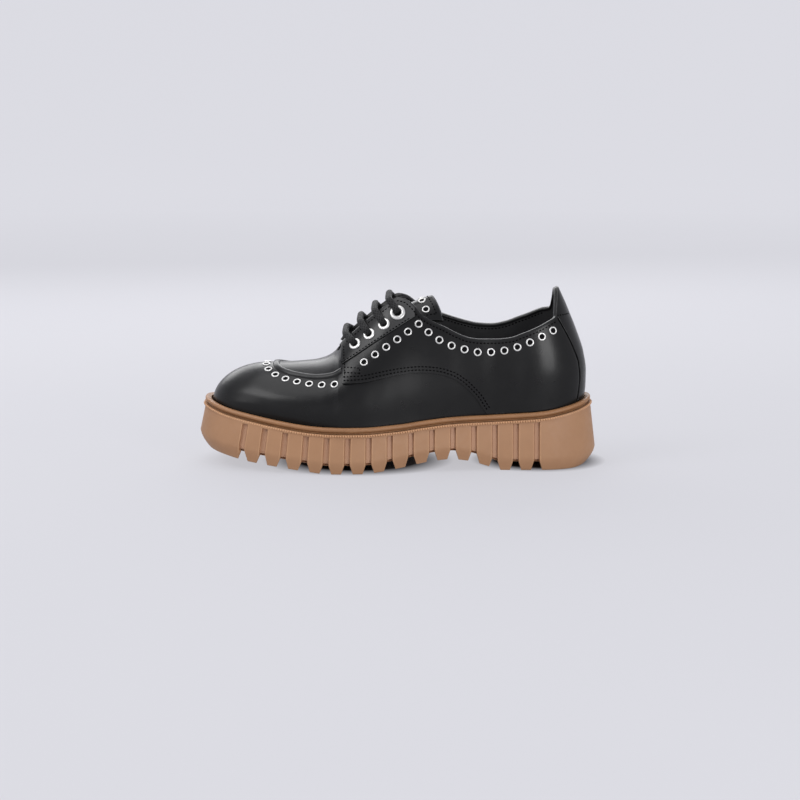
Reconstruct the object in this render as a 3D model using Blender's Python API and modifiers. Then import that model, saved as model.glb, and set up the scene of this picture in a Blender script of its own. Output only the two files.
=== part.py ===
# Derby shoe for the left foot, on a lugged platform sole
# The toe points to -X, the outer side of the foot faces -Y, and the lugs stand on z = 0.
# Sizes are in millimetres and become metres where a mesh or curve is made.
import math
from collections import namedtuple

import bmesh
import bpy
from mathutils import Matrix, Vector

MM = 0.001
OUTER, INNER = -1, 1            # outer (little toe) and inner (big toe) side of the foot

# Driving sizes
HALF_LENGTH = 140.0             # half the length of the sole
CLEAR = 0.3                     # clearance between pieces that touch
SKIN_CLEAR = 0.4                # clearance under a panel that is laid on the upper
WALL = 2.0                      # upper leather with its lining
PANEL = 1.4                     # leather of a quarter or the back strip
EYESTAY = 1.0                   # leather of an eyestay
TONGUE = 2.6                    # padded tongue
INSOLE = 3.0
LACE = 4.6                      # diameter of the round lace
WELT_RISE = 4.6                 # top of the welt's lip above the sole's top

# Outline of the sole: rounded ends, and how far the pieces on it stand in from its widest line
TOE_START, TOE_ROUND = -72.0, 2.25
HEEL_START, HEEL_ROUND = 96.0, 2.2
UPPER_INSET, UPPER_END_INSET = 8.6, 8.8
WELT_INNER_INSET = 7.9
INSOLE_INSET, INSOLE_END_INSET = 11.3, 12.2

# Sole along the foot: half width, middle line, height of the lug tips and of the top, lean of the slots
Sole = namedtuple("Sole", "x half centre tip top lean")
SOLE = [
    Sole(-140, 45.0, 5.5, 12.5, 43.2, 0.00),
    Sole(-120, 45.5, 5.0, 9.8, 37.6, 0.07),
    Sole(-100, 46.8, 4.0, 6.7, 34.0, 0.115),
    Sole(-80, 48.8, 2.5, 4.2, 30.8, 0.105),
    Sole(-60, 50.6, 1.0, 1.5, 28.2, 0.07),
    Sole(-47, 50.6, -0.5, 0.0, 27.45, 0.044),
    Sole(-25, 48.6, -2.2, 0.0, 27.3, 0.015),
    Sole(0, 43.6, -2.6, 3.0, 28.6, 0.00),
    Sole(20, 40.2, -2.4, 6.8, 31.0, 0.00),
    Sole(36, 38.6, -1.8, 8.4, 32.6, 0.00),
    Sole(50, 37.6, -1.0, 6.8, 33.3, 0.00),
    Sole(62, 37.2, -0.5, 3.2, 33.7, 0.00),
    Sole(73, 37.0, 0.0, 0.0, 34.2, 0.00),
    Sole(100, 37.0, 0.0, 0.0, 36.0, 0.00),
    Sole(120, 37.0, 0.0, 0.0, 39.4, 0.00),
    Sole(140, 37.0, 0.0, 1.6, 44.6, 0.00),
]

# Lugs: slots cut in the side wall, each opening into a flared groove across the tread
SLOTS, SLOT_FIRST, SLOT_PITCH = 15, -107.1, 14.55
SLOT_HALF, SLOT_DEPTH, SLOT_EDGE = 1.9, 2.6, 0.05
SLOT_MIDDLE = 13.0              # the pitch is measured this far under the sole's top
GROOVE_HALF, GROOVE_RISE, GROOVE_STEP = 3.9, 6.2, 0.5
END_STATIONS = 8                # sections in each rounded end of the sole
PULL_POWER = 2.2                # how late the ends of the tread draw in

# Side of the sole from tread to top: inset at the sides and ends, height from the tips or the top
Side = namedtuple("Side", "inset end_inset from_tip from_top")
SOLE_SIDE = [
    Side(2.2, 6.6, 0.0, None),
    Side(0.8, 2.0, 5.0, None),
    Side(0.0, 0.0, 10.0, None),
    Side(3.7, 4.0, None, -3.6),
    Side(3.9, 4.3, None, -2.0),
    Side(3.2, 3.5, None, -1.6),
    Side(3.5, 3.8, None, 0.0),
]
SLOTTED_ROWS = (1, 2, 3)        # rows of the side that a slot cuts into

# Welt section: inset from the sole's outline and height above the sole's top
WELT = [
    (5.4, CLEAR), (5.6, 1.3), (4.1, 2.1), (3.8, 3.2), (4.6, 4.3), (6.0, WELT_RISE),
    (WELT_INNER_INSET, WELT_RISE - 0.2), (WELT_INNER_INSET, CLEAR),
]

# Last with its leather: ridge height, roundness of the section, bulge of its side, lean of its ridge
Form = namedtuple("Form", "x ridge round square bulge lean")
FORM = [
    Form(-131, 71.0, 2.10, 1.90, 0.5, 0.0),
    Form(-100, 69.6, 2.20, 1.90, 2.0, 0.0),
    Form(-81, 70.0, 2.25, 1.92, 3.2, 0.5),
    Form(-60, 71.4, 2.40, 2.00, 3.6, 1.5),
    Form(-52, 73.2, 2.45, 2.04, 3.6, 2.0),
    Form(-44, 78.0, 2.30, 1.96, 3.5, 2.5),
    Form(-37, 90.5, 1.94, 1.68, 3.4, 3.0),
    Form(-20, 107.0, 1.90, 1.62, 3.2, 3.0),
    Form(-2, 123.5, 1.88, 1.60, 3.0, 2.5),
    Form(20, 132.0, 1.90, 1.50, 2.8, 2.0),
    Form(40, 142.0, 2.10, 1.40, 2.6, 1.0),
    Form(60, 150.0, 2.20, 1.35, 2.5, 0.0),
    Form(131, 150.0, 2.20, 1.35, 2.5, 0.0),
]
NOSE_LENGTH, NOSE_POWER = 38.0, 2.0     # length and fullness of the toe's nose
BULGE_PLACE = 0.75                      # below 1, the side is widest under half its free height

# Back of the heel: how far it reaches at each height, from a line that stays upright
HEEL_PIVOT = 70.0
Back = namedtuple("Back", "z reach")
BACK = [
    Back(40, 130.0), Back(46, 130.2), Back(55, 131.0), Back(65, 131.1), Back(78, 129.1),
    Back(93, 124.1), Back(106, 118.8), Back(114, 115.4), Back(124, 110.6),
]

# Edge of the upper behind the throat: facing, top corner, collar and heel tab, on each side
Edge = namedtuple("Edge", "x outer inner")
EDGE = [
    Edge(-41, 80.4, 80.4), Edge(-37, 86.2, 86.2), Edge(-30, 92.6, 92.6), Edge(-19, 102.2, 102.2),
    Edge(-7, 111.8, 111.8), Edge(-3, 115.2, 115.2),
    Edge(1, 116.8, 116.8), Edge(6, 115.8, 115.8), Edge(12, 111.3, 111.5), Edge(16, 106.8, 107.4),
    Edge(22, 103.0, 104.8), Edge(33, 98.2, 101.4), Edge(42, 93.8, 98.3), Edge(50, 91.2, 95.9),
    Edge(57, 90.4, 94.4), Edge(67, 90.3, 93.7), Edge(78, 91.1, 95.4), Edge(89, 94.2, 98.8),
    Edge(96, 96.4, 100.9), Edge(104, 99.1, 103.6), Edge(111, 101.8, 105.8), Edge(118.4, 104.8, 107.2),
    Edge(120.4, 108.2, 108.8), Edge(122.8, 112.2, 112.2), Edge(126.7, 117.6, 117.6),
    Edge(129.8, 121.6, 121.6), Edge(131.2, 123.4, 123.4),
]
VAMP_END = -44.0                # the upper is closed along its ridge in front of this
UPPER_STATIONS, UPPER_ROWS = 34, 8
THROAT_STATIONS = (VAMP_END - 8, VAMP_END - 4, VAMP_END)
STATION_GAP = 3.0               # an even station this close to a turn of the edge is left out
EVEN_HEEL = 100.0               # behind this the stations are even again

# Lower edge of the quarter where it is lapped over the vamp, and its line beside the back strip
QUARTER_FRONT = -37.6
Lap = namedtuple("Lap", "x z")
LAP = [
    Lap(-38, 60.6), Lap(-22, 62.4), Lap(-12, 64.6), Lap(2, 67.2), Lap(15, 68.2), Lap(27, 67.4),
    Lap(37, 64.6), Lap(44, 60.4), Lap(50, 55.0), Lap(55, 49.4), Lap(59, 43.0), Lap(63, 38.0), Lap(140, 20.0),
]
Strip = namedtuple("Strip", "z x")
STRIP = [
    Strip(40, 123.6), Strip(49, 125.2), Strip(62, 126.4), Strip(72, 125.4), Strip(83, 121.5),
    Strip(95, 115.6), Strip(106, 109.2), Strip(124, 98.0),
]
STRIP_GAP = 1.0                 # between a quarter and the back strip
PANEL_FOOT = 1.0                # between the welt's lip and a panel
PANEL_EDGE = 0.8                # a panel stops this far under the upper's edge
QUARTER_COLUMNS, QUARTER_ROWS = 24, 6

# Lower edge of the eyestay, and the lace eyelets on it
Stay = namedtuple("Stay", "x z")
STAY = [Stay(-38, 72.0), Stay(14, 106.0), Stay(22, 110.0)]
STAY_END = 12.0
STAY_COLUMNS, STAY_ROWS = 11, 4
EYELETS = [(-28.2, 85.2), (-18.5, 92.1), (-8.4, 99.2), (0.5, 106.8)]
EYELET_RADIUS, EYELET_TOP_RADIUS, EYELET_WIRE = 3.0, 3.8, 1.1
EYELET_SEAT = 0.7               # the flat ring stands over a curved panel
EYELET_FLAT = 0.6               # height of the ring's wire against its width
RING_SEGMENTS, RING_SIDES = 12, 4

# Tongue: ridge height, half width, and how far its sides drop below the ridge
Tongue = namedtuple("Tongue", "x ridge half drop")
TONGUE_FORM = [
    Tongue(-54, 69.6, 17.0, 5.6), Tongue(-44, 74.4, 17.5, 6.2), Tongue(-36, 81.0, 17.5, 6.5),
    Tongue(-20, 95.0, 17.5, 8.0), Tongue(-5, 106.0, 17.0, 10.0), Tongue(10, 112.6, 17.0, 13.5),
    Tongue(24, 116.6, 16.5, 15.0), Tongue(32, 117.6, 16.5, 16.0),
]
TONGUE_FRONT, TONGUE_TOP, TONGUE_EARS = -54.0, 24.0, 7.0
TONGUE_COLUMNS, TONGUE_ROWS = 12, 5

# Raised seam round the apron of the vamp, seen from above
APRON_MIDDLE = 2.7              # y of its middle line
APRON_FRONT, APRON_LENGTH = -85.5, 46.9
APRON_HALF, APRON_FULL = 32.5, 3.0     # half width at its rear end, and how blunt its front is
APRON_STOP = 0.98               # the seam stops at this share of the width, clear of the quarters
SEAM_RADIUS = 1.5
SEAM_POINTS, SEAM_ROUND = 26, 1
SEAM_EASE = 0.6                 # below 1, the points draw closer towards the rear ends


def smooth(rows, column, key="x"):
    """One column of a table as a function of its key, with no overshoot between rows."""
    at = [getattr(row, key) for row in rows]
    of = [getattr(row, column) for row in rows]
    rise = [(b - a) / (d - c) for a, b, c, d in zip(of, of[1:], at, at[1:])]
    slope = [rise[0]]
    for a, b in zip(rise, rise[1:]):
        slope.append(2 * a * b / (a + b) if a * b > 0 else 0.0)
    slope.append(rise[-1])

    def value(x):
        x = min(max(x, at[0]), at[-1])
        i = 0
        while i < len(at) - 2 and at[i + 1] <= x:
            i += 1
        span = at[i + 1] - at[i]
        t = (x - at[i]) / span
        hold = of[i] * (1 + 2 * t) * (1 - t) ** 2 + of[i + 1] * t * t * (3 - 2 * t)
        turn = slope[i] * t * (1 - t) ** 2 - slope[i + 1] * t * t * (1 - t)
        return hold + span * turn

    return value


sole_half = smooth(SOLE, "half")
sole_centre = smooth(SOLE, "centre")
sole_tip = smooth(SOLE, "tip")
sole_top = smooth(SOLE, "top")
sole_lean = smooth(SOLE, "lean")
form_ridge = smooth(FORM, "ridge")
form_round = smooth(FORM, "round")
form_square = smooth(FORM, "square")
form_bulge = smooth(FORM, "bulge")
form_lean = smooth(FORM, "lean")
back_reach = smooth(BACK, "reach", "z")
edge_height = {OUTER: smooth(EDGE, "outer"), INNER: smooth(EDGE, "inner")}
lap_height = smooth(LAP, "z")
strip_line = smooth(STRIP, "x", "z")
stay_height = smooth(STAY, "z")
tongue_ridge = smooth(TONGUE_FORM, "ridge")
tongue_half = smooth(TONGUE_FORM, "half")
tongue_drop = smooth(TONGUE_FORM, "drop")


def end_share(x):
    """Share of the full width that is left in the rounded toe and heel."""
    if x < TOE_START:
        t, power = (TOE_START - x) / (TOE_START + HALF_LENGTH), TOE_ROUND
    elif x > HEEL_START:
        t, power = (x - HEEL_START) / (HALF_LENGTH - HEEL_START), HEEL_ROUND
    else:
        return 1.0
    return max(0.0, 1.0 - min(t, 1.0) ** power) ** (1.0 / power)


def middle_shift():
    """Middle of the sole's width, so that the shoe is centred on y = 0."""
    spots = range(-int(HALF_LENGTH), int(HALF_LENGTH) + 1)
    low = min(sole_centre(x) - sole_half(x) * end_share(x) for x in spots)
    high = max(sole_centre(x) + sole_half(x) * end_share(x) for x in spots)
    return (low + high) / 2


Y_MIDDLE = middle_shift()


def outline(x, inset, end_inset):
    """Place along the foot and the two edges of the sole's outline at station x, moved in."""
    half = (sole_half(x) - inset) * end_share(x)
    middle = sole_centre(x) - Y_MIDDLE
    return x * (1 - end_inset / HALF_LENGTH), middle - half, middle + half


def spaced(low, high, count, ease_low=True, ease_high=True):
    """Stations from low to high that draw closer towards the eased ends."""
    places = []
    for i in range(count + 1):
        t = i / count
        if ease_low and ease_high:
            t = (1 - math.cos(math.pi * t)) / 2
        elif ease_low:
            t = 1 - math.cos(math.pi * t / 2)
        elif ease_high:
            t = math.sin(math.pi * t / 2)
        places.append(low + (high - low) * t)
    return places


# The upper's own surface
UPPER_REACH = 1 - UPPER_END_INSET / HALF_LENGTH
UPPER_END = HALF_LENGTH * UPPER_REACH


def foot_height(x):
    """Height at which the upper meets the sole."""
    return sole_top(x) + CLEAR


def ridge_height(x):
    """Top of the section, falling to the sole round the toe's nose."""
    t = min(max((x + UPPER_END) / NOSE_LENGTH, 0.0), 1.0)
    nose = (1 - (1 - t) ** 2) ** (1 / NOSE_POWER)
    return foot_height(x) + (form_ridge(x) - foot_height(x)) * nose


def half_width(x, rise):
    """Half width of the section at station x, rise going from 0 at the sole to 1 at the ridge."""
    full = (sole_half(x / UPPER_REACH) - UPPER_INSET) * end_share(x / UPPER_REACH)
    arch = max(0.0, 1 - rise ** form_round(x)) ** (1 / form_square(x))
    height = ridge_height(x) - foot_height(x)
    free = max(0.0, (rise * height - WELT_RISE) / (height - WELT_RISE)) if height > WELT_RISE else 0.0
    bulge = form_bulge(x) * end_share(x / UPPER_REACH) * math.sin(math.pi * free ** BULGE_PLACE) ** 2
    return full * arch + bulge


def section_middle(x, rise):
    return sole_centre(x / UPPER_REACH) - Y_MIDDLE + form_lean(x) * rise


def rise_at(x, z):
    height = ridge_height(x) - foot_height(x)
    return min(max((z - foot_height(x)) / height, 0.0), 1.0) if height > 0 else 0.0


def surface(x, z, side):
    """Point of the upper's outside at station x and height z."""
    rise = rise_at(x, z)
    y = section_middle(x, rise) + side * half_width(x, rise)
    if x > HEEL_PIVOT:
        x = HEEL_PIVOT + (x - HEEL_PIVOT) * (back_reach(z) - HEEL_PIVOT) / (UPPER_END - HEEL_PIVOT)
    return Vector((x, y, z))


def station(x, z):
    """Station of the upper that is seen at x from the side, at height z."""
    if x <= HEEL_PIVOT:
        return x
    return HEEL_PIVOT + (x - HEEL_PIVOT) * (UPPER_END - HEEL_PIVOT) / (back_reach(z) - HEEL_PIVOT)


LOWEST_RISE, HALVINGS = 0.3, 40     # the section only narrows above this share of its height


def surface_over(x, y):
    """Point of the upper's outside that is seen at x and y from above."""
    side = OUTER if y < section_middle(x, 1.0) else INNER
    low, high = LOWEST_RISE, 1.0
    for _ in range(HALVINGS):
        rise = (low + high) / 2
        if side * (y - section_middle(x, rise)) < half_width(x, rise):
            low = rise
        else:
            high = rise
    return Vector((x, y, foot_height(x) + (ridge_height(x) - foot_height(x)) * low))


NORMAL_STEP = 0.2


def outward(x, z, side):
    """Direction straight out of the upper's surface."""
    step = NORMAL_STEP
    along = surface(x + step, z, side) - surface(x - step, z, side)
    up = surface(x, z + step, side) - surface(x, z - step, side)
    normal = along.cross(up).normalized()
    return normal if normal.y * side > 0 else -normal


def lip_height(x):
    return sole_top(x) + WELT_RISE


# Meshes and materials
SHOE_INSIDE = Vector((0.0, 0.0, 50.0))
WELD = 0.001                    # points closer than this are one
SHARP = math.radians(35)


def material(name, colour, roughness, metallic=0.0):
    made = bpy.data.materials.new(name)
    made.use_nodes = True
    shader = made.node_tree.nodes["Principled BSDF"]
    shader.inputs["Base Color"].default_value = (*colour, 1.0)
    shader.inputs["Roughness"].default_value = roughness
    shader.inputs["Metallic"].default_value = metallic
    return made


def place(name, data, finish):
    """Add an object of the shoe with its own copy of a finish."""
    data.materials.append(finish.copy())
    made = bpy.data.objects.new(name, data)
    shoe.objects.link(made)
    return made


def grid_mesh(name, grids, around=False):
    """Mesh over grids of points, welded where they meet, with its faces pointing out of the shoe."""
    work = bmesh.new()
    for grid in grids:
        rows = [[work.verts.new(point * MM) for point in row] for row in grid]
        for a, b in zip(rows, rows[1:]):
            count = len(a)
            for i in range(count if around else count - 1):
                j = (i + 1) % count
                work.faces.new((a[i], a[j], b[j], b[i]))
    bmesh.ops.remove_doubles(work, verts=work.verts, dist=WELD * MM)
    bmesh.ops.dissolve_degenerate(work, edges=work.edges, dist=WELD * MM)
    bmesh.ops.recalc_face_normals(work, faces=work.faces)
    inside = SHOE_INSIDE * MM
    turned = sum(f.normal.dot(f.calc_center_median() - inside) * f.calc_area() for f in work.faces)
    if turned < 0:
        bmesh.ops.reverse_faces(work, faces=work.faces)
    mesh = bpy.data.meshes.new(name)
    work.to_mesh(mesh)
    work.free()
    mesh.shade_smooth()
    mesh.set_sharp_from_angle(angle=SHARP)
    return mesh


def add_wall(piece, thickness, inner):
    """Give an open surface its thickness, with its inner face at a distance out of the surface."""
    wall = piece.modifiers.new("wall", "SOLIDIFY")
    wall.thickness = thickness * MM
    wall.offset = 1 + 2 * inner / thickness
    wall.use_even_offset = True
    wall.use_quality_normals = True


def tube(name, points, radius, finish, sides=2):
    """Round cord along points, with closed ends."""
    data = bpy.data.curves.new(name, "CURVE")
    data.dimensions = "3D"
    data.bevel_depth = radius * MM
    data.bevel_resolution = sides
    data.use_fill_caps = True
    spline = data.splines.new("POLY")
    spline.points.add(len(points) - 1)
    for spot, point in zip(spline.points, points):
        spot.co = (*(point * MM), 1.0)
    return place(name, data, finish)


def eased_path(knots, steps):
    """Points along a smooth curve through the knots."""
    ends = [knots[0] * 2 - knots[1]] + knots + [knots[-1] * 2 - knots[-2]]
    path = []
    for a, b, c, d in zip(ends, ends[1:], ends[2:], ends[3:]):
        for i in range(steps):
            t = i / steps
            path.append((b * 2 + (c - a) * t + (a * 2 - b * 5 + c * 4 - d) * t * t
                         + (b * 3 - a - c * 3 + d) * t ** 3) / 2)
    path.append(knots[-1])
    return path


# Outsole
def tread_stations():
    """Stations of the sole with the rise of the tread and the depth of the slot at each."""
    toe = SLOT_FIRST + sole_lean(SLOT_FIRST) * SLOT_MIDDLE - GROOVE_HALF
    heel = SLOT_FIRST + SLOT_PITCH * (SLOTS - 1) + GROOVE_HALF
    found = [(x, 0.0, 0.0) for x in spaced(-HALF_LENGTH, toe, END_STATIONS, True, False)[:-1]]
    cut = SLOT_HALF - SLOT_EDGE
    for k in range(SLOTS):
        x = SLOT_FIRST + SLOT_PITCH * k
        x += sole_lean(x) * SLOT_MIDDLE
        found += [(x - GROOVE_HALF, 0.0, 0.0), (x - SLOT_HALF, GROOVE_RISE, 0.0)]
        found += [(x - cut, GROOVE_RISE, SLOT_DEPTH), (x + cut, GROOVE_RISE, SLOT_DEPTH)]
        found += [(x + SLOT_HALF, GROOVE_RISE, 0.0), (x + GROOVE_HALF, 0.0, 0.0)]
    found += [(x, 0.0, 0.0) for x in spaced(heel, HALF_LENGTH, END_STATIONS, False, True)[1:]]
    return found


def end_pull(x):
    """Share of an end inset that moves the sole's side at station x, growing round the toe and heel."""
    if x < TOE_START:
        return -((TOE_START - x) / (TOE_START + HALF_LENGTH)) ** PULL_POWER
    if x > HEEL_START:
        return ((x - HEEL_START) / (HALF_LENGTH - HEEL_START)) ** PULL_POWER
    return 0.0


def sole_section(x, rise, depth):
    """Closed section of the sole: up its outer side and down its inner side."""
    up, down = [], []
    for number, row in enumerate(SOLE_SIDE):
        cut = depth if number in SLOTTED_ROWS else 0.0
        place_x, outer, inner = outline(x, row.inset + cut, 0.0)
        place_x -= row.end_inset * end_pull(x)
        top, tip = sole_top(place_x), sole_tip(place_x)
        if row.from_top is None:
            z = tip + max(row.from_tip, rise + GROOVE_STEP * number)
        else:
            z = top + row.from_top
        place_x += sole_lean(place_x) * (z - top)
        up.append(Vector((place_x, outer, z)))
        down.append(Vector((place_x, inner, z)))
    return up + down[::-1]


def make_outsole():
    sections = [sole_section(*spot) for spot in tread_stations()]
    return place("outsole", grid_mesh("outsole", [sections], around=True), gum)


# Welt round the foot of the upper
WELT_STATIONS = 32


def make_welt():
    rings = {OUTER: [], INNER: []}
    for x in spaced(-HALF_LENGTH, HALF_LENGTH, WELT_STATIONS):
        spots = [(outline(x, inset, inset), rise) for inset, rise in WELT]
        rings[OUTER].append([Vector((s[0], s[1], sole_top(s[0]) + rise)) for s, rise in spots])
        rings[INNER].append([Vector((s[0], s[2], sole_top(s[0]) + rise)) for s, rise in spots])
    return place("welt", grid_mesh("welt", [rings[OUTER], rings[INNER]], around=True), gum_welt)


# Insole
INSOLE_STATIONS = 22


def make_insole():
    sections = []
    for x in spaced(-HALF_LENGTH, HALF_LENGTH, INSOLE_STATIONS):
        at, outer, inner = outline(x, INSOLE_INSET, INSOLE_END_INSET)
        low = sole_top(at) + CLEAR
        corners = [(outer, low), (outer, low + INSOLE), (inner, low + INSOLE), (inner, low)]
        sections.append([Vector((at, y, z)) for y, z in corners])
    return place("insole", grid_mesh("insole", [sections], around=True), lining)


# Upper: one hollow shell, closed over the vamp and open behind the throat and underneath
def upper_stations():
    """Sections along the upper, with one at each turn of its edge."""
    turns = list(THROAT_STATIONS) + [row.x for row in EDGE]
    even = spaced(-UPPER_END, UPPER_END, UPPER_STATIONS)
    kept = [x for x in even if min(abs(x - t) for t in turns) > STATION_GAP or abs(x) > EVEN_HEEL]
    kept = [x for x in kept if not VAMP_END < x < EDGE[0].x]
    turns = [x for x in turns if x < EVEN_HEEL]
    return sorted(kept + turns)


def upper_column(x, side):
    """Points of one side of a section, from the sole to the ridge or to the open edge."""
    low, ridge = foot_height(x), ridge_height(x)
    top = ridge if x <= VAMP_END else edge_height[side](x)
    turn = math.asin(min(1.0, (top - low) / (ridge - low))) if ridge > low else 0.0
    heights = [low + (ridge - low) * math.sin(turn * j / UPPER_ROWS) for j in range(UPPER_ROWS + 1)]
    return [surface(x, z, side) for z in heights]


def make_upper():
    sides = [[upper_column(x, side) for x in upper_stations()] for side in (OUTER, INNER)]
    upper = place("upper", grid_mesh("upper", sides), leather)
    add_wall(upper, WALL, -WALL)
    return upper


# Panels laid on the upper
SETTLE = 30                     # rounds in which a place that depends on its own height settles
EDGE_SEEN_END = 120.0           # the heel tab starts behind this station


def panel(name, front, rear, low, high, side, columns, rows, thickness, inner):
    """Leather panel between two heights, each a function of x, from a front line to a rear line."""
    grid = []
    for share in spaced(0.0, 1.0, columns):
        line = []
        for j in range(rows + 1):
            z = low(front)
            for _ in range(SETTLE):
                x = front + (rear(z) - front) * share
                z = (z + low(x) + (high(x) - low(x)) * j / rows) / 2
            line.append(surface(station(x, z), z, side))
        grid.append(line)
    made = place(name, grid_mesh(name, [grid]), leather)
    add_wall(made, thickness, inner)
    return made


def edge_seen(x, side):
    """Height of the upper's edge that is seen at x from the side."""
    z = edge_height[side](x)
    for _ in range(SETTLE):
        z = (z + edge_height[side](min(station(x, z), EDGE_SEEN_END))) / 2
    return z


def make_quarter(name, side):
    return panel(
        name, QUARTER_FRONT, lambda z: strip_line(z) - STRIP_GAP,
        lambda x: max(lap_height(x), lip_height(x) + PANEL_FOOT),
        lambda x: edge_seen(x, side) - PANEL_EDGE,
        side, QUARTER_COLUMNS, QUARTER_ROWS, PANEL, SKIN_CLEAR)


def make_eyestay(name, side):
    return panel(
        name, QUARTER_FRONT, lambda z: STAY_END, stay_height,
        lambda x: edge_seen(x, side) - PANEL_EDGE,
        side, STAY_COLUMNS, STAY_ROWS, EYESTAY, SKIN_CLEAR + PANEL + CLEAR)


# Back strip that runs up into the heel tab
STRIP_COLUMNS, STRIP_ROWS = 6, 9


def make_back_strip():
    sides = []
    for side in (OUTER, INNER):
        grid = []
        for i in range(STRIP_COLUMNS + 1):
            line = []
            for j in range(STRIP_ROWS + 1):
                z = lip_height(UPPER_END) + PANEL_FOOT
                for _ in range(SETTLE):
                    start = station(strip_line(z), z)
                    x = start + (UPPER_END - start) * math.sin(math.pi / 2 * i / STRIP_COLUMNS)
                    low, high = lip_height(x) + PANEL_FOOT, edge_height[side](x) - PANEL_EDGE
                    z = (z + low + (high - low) * j / STRIP_ROWS) / 2
                line.append(surface(x, z, side))
            grid.append(line)
        sides.append(grid)
    strip = place("back_strip", grid_mesh("back_strip", sides), leather)
    add_wall(strip, PANEL, SKIN_CLEAR)
    return strip


# Tongue under the facings
def make_tongue():
    grid = []
    for i in range(TONGUE_COLUMNS + 1):
        line = []
        for j in range(-TONGUE_ROWS, TONGUE_ROWS + 1):
            v = j / TONGUE_ROWS
            end = TONGUE_TOP + TONGUE_EARS * v * v
            x = TONGUE_FRONT + (end - TONGUE_FRONT) * i / TONGUE_COLUMNS
            z = tongue_ridge(x) - tongue_drop(x) * v * v
            line.append(Vector((x, section_middle(x, 1.0) + tongue_half(x) * v, z)))
        grid.append(line)
    tongue = place("tongue", grid_mesh("tongue", [grid]), leather)
    add_wall(tongue, TONGUE, -TONGUE)
    return tongue


# Raised seam round the apron
def make_apron_seam():
    knots = []
    for i in range(SEAM_POINTS + 1):
        t = 2 * i / SEAM_POINTS - 1
        share = math.copysign(APRON_STOP * abs(t) ** SEAM_EASE, t)
        x = APRON_FRONT + APRON_LENGTH * abs(share) ** APRON_FULL
        y = APRON_MIDDLE + APRON_HALF * share
        spot = surface_over(x, y)
        side = OUTER if y < section_middle(x, 1.0) else INNER
        knots.append(spot + outward(x, spot.z, side) * (SEAM_RADIUS + SKIN_CLEAR))
    return tube("apron_seam", knots, SEAM_RADIUS, leather, SEAM_ROUND)


# Lace eyelets and the bars of the lace between them
EYELET_BASE = SKIN_CLEAR + PANEL + CLEAR + EYESTAY + EYELET_SEAT
LACE_CLEAR = 0.5                # under a bar where it lies over the facing's edge
LACE_OVER_EDGE = SKIN_CLEAR + PANEL + CLEAR + EYESTAY + LACE_CLEAR + LACE / 2
BAR_TURN = 0.5                  # a bar turns over this far under the facing's edge
BAR_STEPS, BAR_ROUND = 2, 1
BAR_LEAN = 4.5                  # a bar climbs forward by this much on its way to the facing's edge
BAR_ARCH = 2.0
BAR_CLEAR = 1.3                 # under a bar where it rises from a slanted ring


def eyelet_spot(x, z, side, out):
    return surface(x, z, side) + outward(x, z, side) * out


def make_eyelet(name, x, z, side, radius):
    bpy.ops.mesh.primitive_torus_add(
        major_segments=RING_SEGMENTS, minor_segments=RING_SIDES,
        major_radius=radius * MM, minor_radius=EYELET_WIRE * MM)
    ring = bpy.context.object
    data = ring.data
    bpy.data.objects.remove(ring)
    data.transform(Matrix.Diagonal((1.0, 1.0, EYELET_FLAT, 1.0)))
    data.shade_smooth()
    data.name = name
    made = place(name, data, nickel)
    made.rotation_mode = "QUATERNION"
    made.rotation_quaternion = outward(x, z, side).to_track_quat("Z", "Y")
    made.location = eyelet_spot(x, z, side, EYELET_BASE + EYELET_WIRE * EYELET_FLAT) * MM
    return made


def make_lace_bar(name, x, z):
    ring_top = EYELET_BASE + 2 * EYELET_WIRE * EYELET_FLAT + BAR_CLEAR + LACE / 2
    half = []
    for side in (OUTER, INNER):
        edge_x = x - BAR_LEAN
        edge_z = edge_height[side](edge_x) - BAR_TURN
        start = eyelet_spot(x, z, side, ring_top)
        over = eyelet_spot(edge_x, edge_z, side, LACE_OVER_EDGE)
        between = eyelet_spot((x + edge_x) / 2, (z + edge_z) / 2, side, (ring_top + LACE_OVER_EDGE) / 2)
        half.append([start, between, over])
    top = (half[0][2] + half[1][2]) / 2 + Vector((0.0, 0.0, BAR_ARCH))
    return tube(name, eased_path(half[0] + [top] + half[1][::-1], BAR_STEPS), LACE / 2, cord, BAR_ROUND)


# The shoe
for old in list(bpy.data.objects):
    bpy.data.objects.remove(old)

shoe = bpy.data.collections.new("derby_shoe")
bpy.context.scene.collection.children.link(shoe)

gum = material("gum rubber", (0.42, 0.22, 0.12), 0.55)
gum_welt = material("gum rubber welt", (0.36, 0.18, 0.09), 0.5)
leather = material("black leather", (0.012, 0.012, 0.013), 0.38)
lining = material("black lining", (0.01, 0.01, 0.01), 0.7)
nickel = material("nickel", (0.78, 0.77, 0.74), 0.22, 1.0)
cord = material("black cord", (0.02, 0.02, 0.022), 0.75)

make_outsole()
make_welt()
make_insole()
make_upper()
for side_name, foot_side in (("lateral", OUTER), ("medial", INNER)):
    make_quarter("quarter_" + side_name, foot_side)
    make_eyestay("eyestay_" + side_name, foot_side)
    for number, (spot_x, spot_z) in enumerate(EYELETS, 1):
        size = EYELET_TOP_RADIUS if number == len(EYELETS) else EYELET_RADIUS
        make_eyelet("lace_eyelet_%s_%d" % (side_name, number), spot_x, spot_z, foot_side, size)
make_back_strip()
make_tongue()
make_apron_seam()
for number, (spot_x, spot_z) in enumerate(EYELETS, 1):
    make_lace_bar("lace_bar_%d" % number, spot_x, spot_z)
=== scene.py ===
import math
from collections import namedtuple

import bmesh
import bpy
from mathutils import Matrix, Vector


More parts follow.
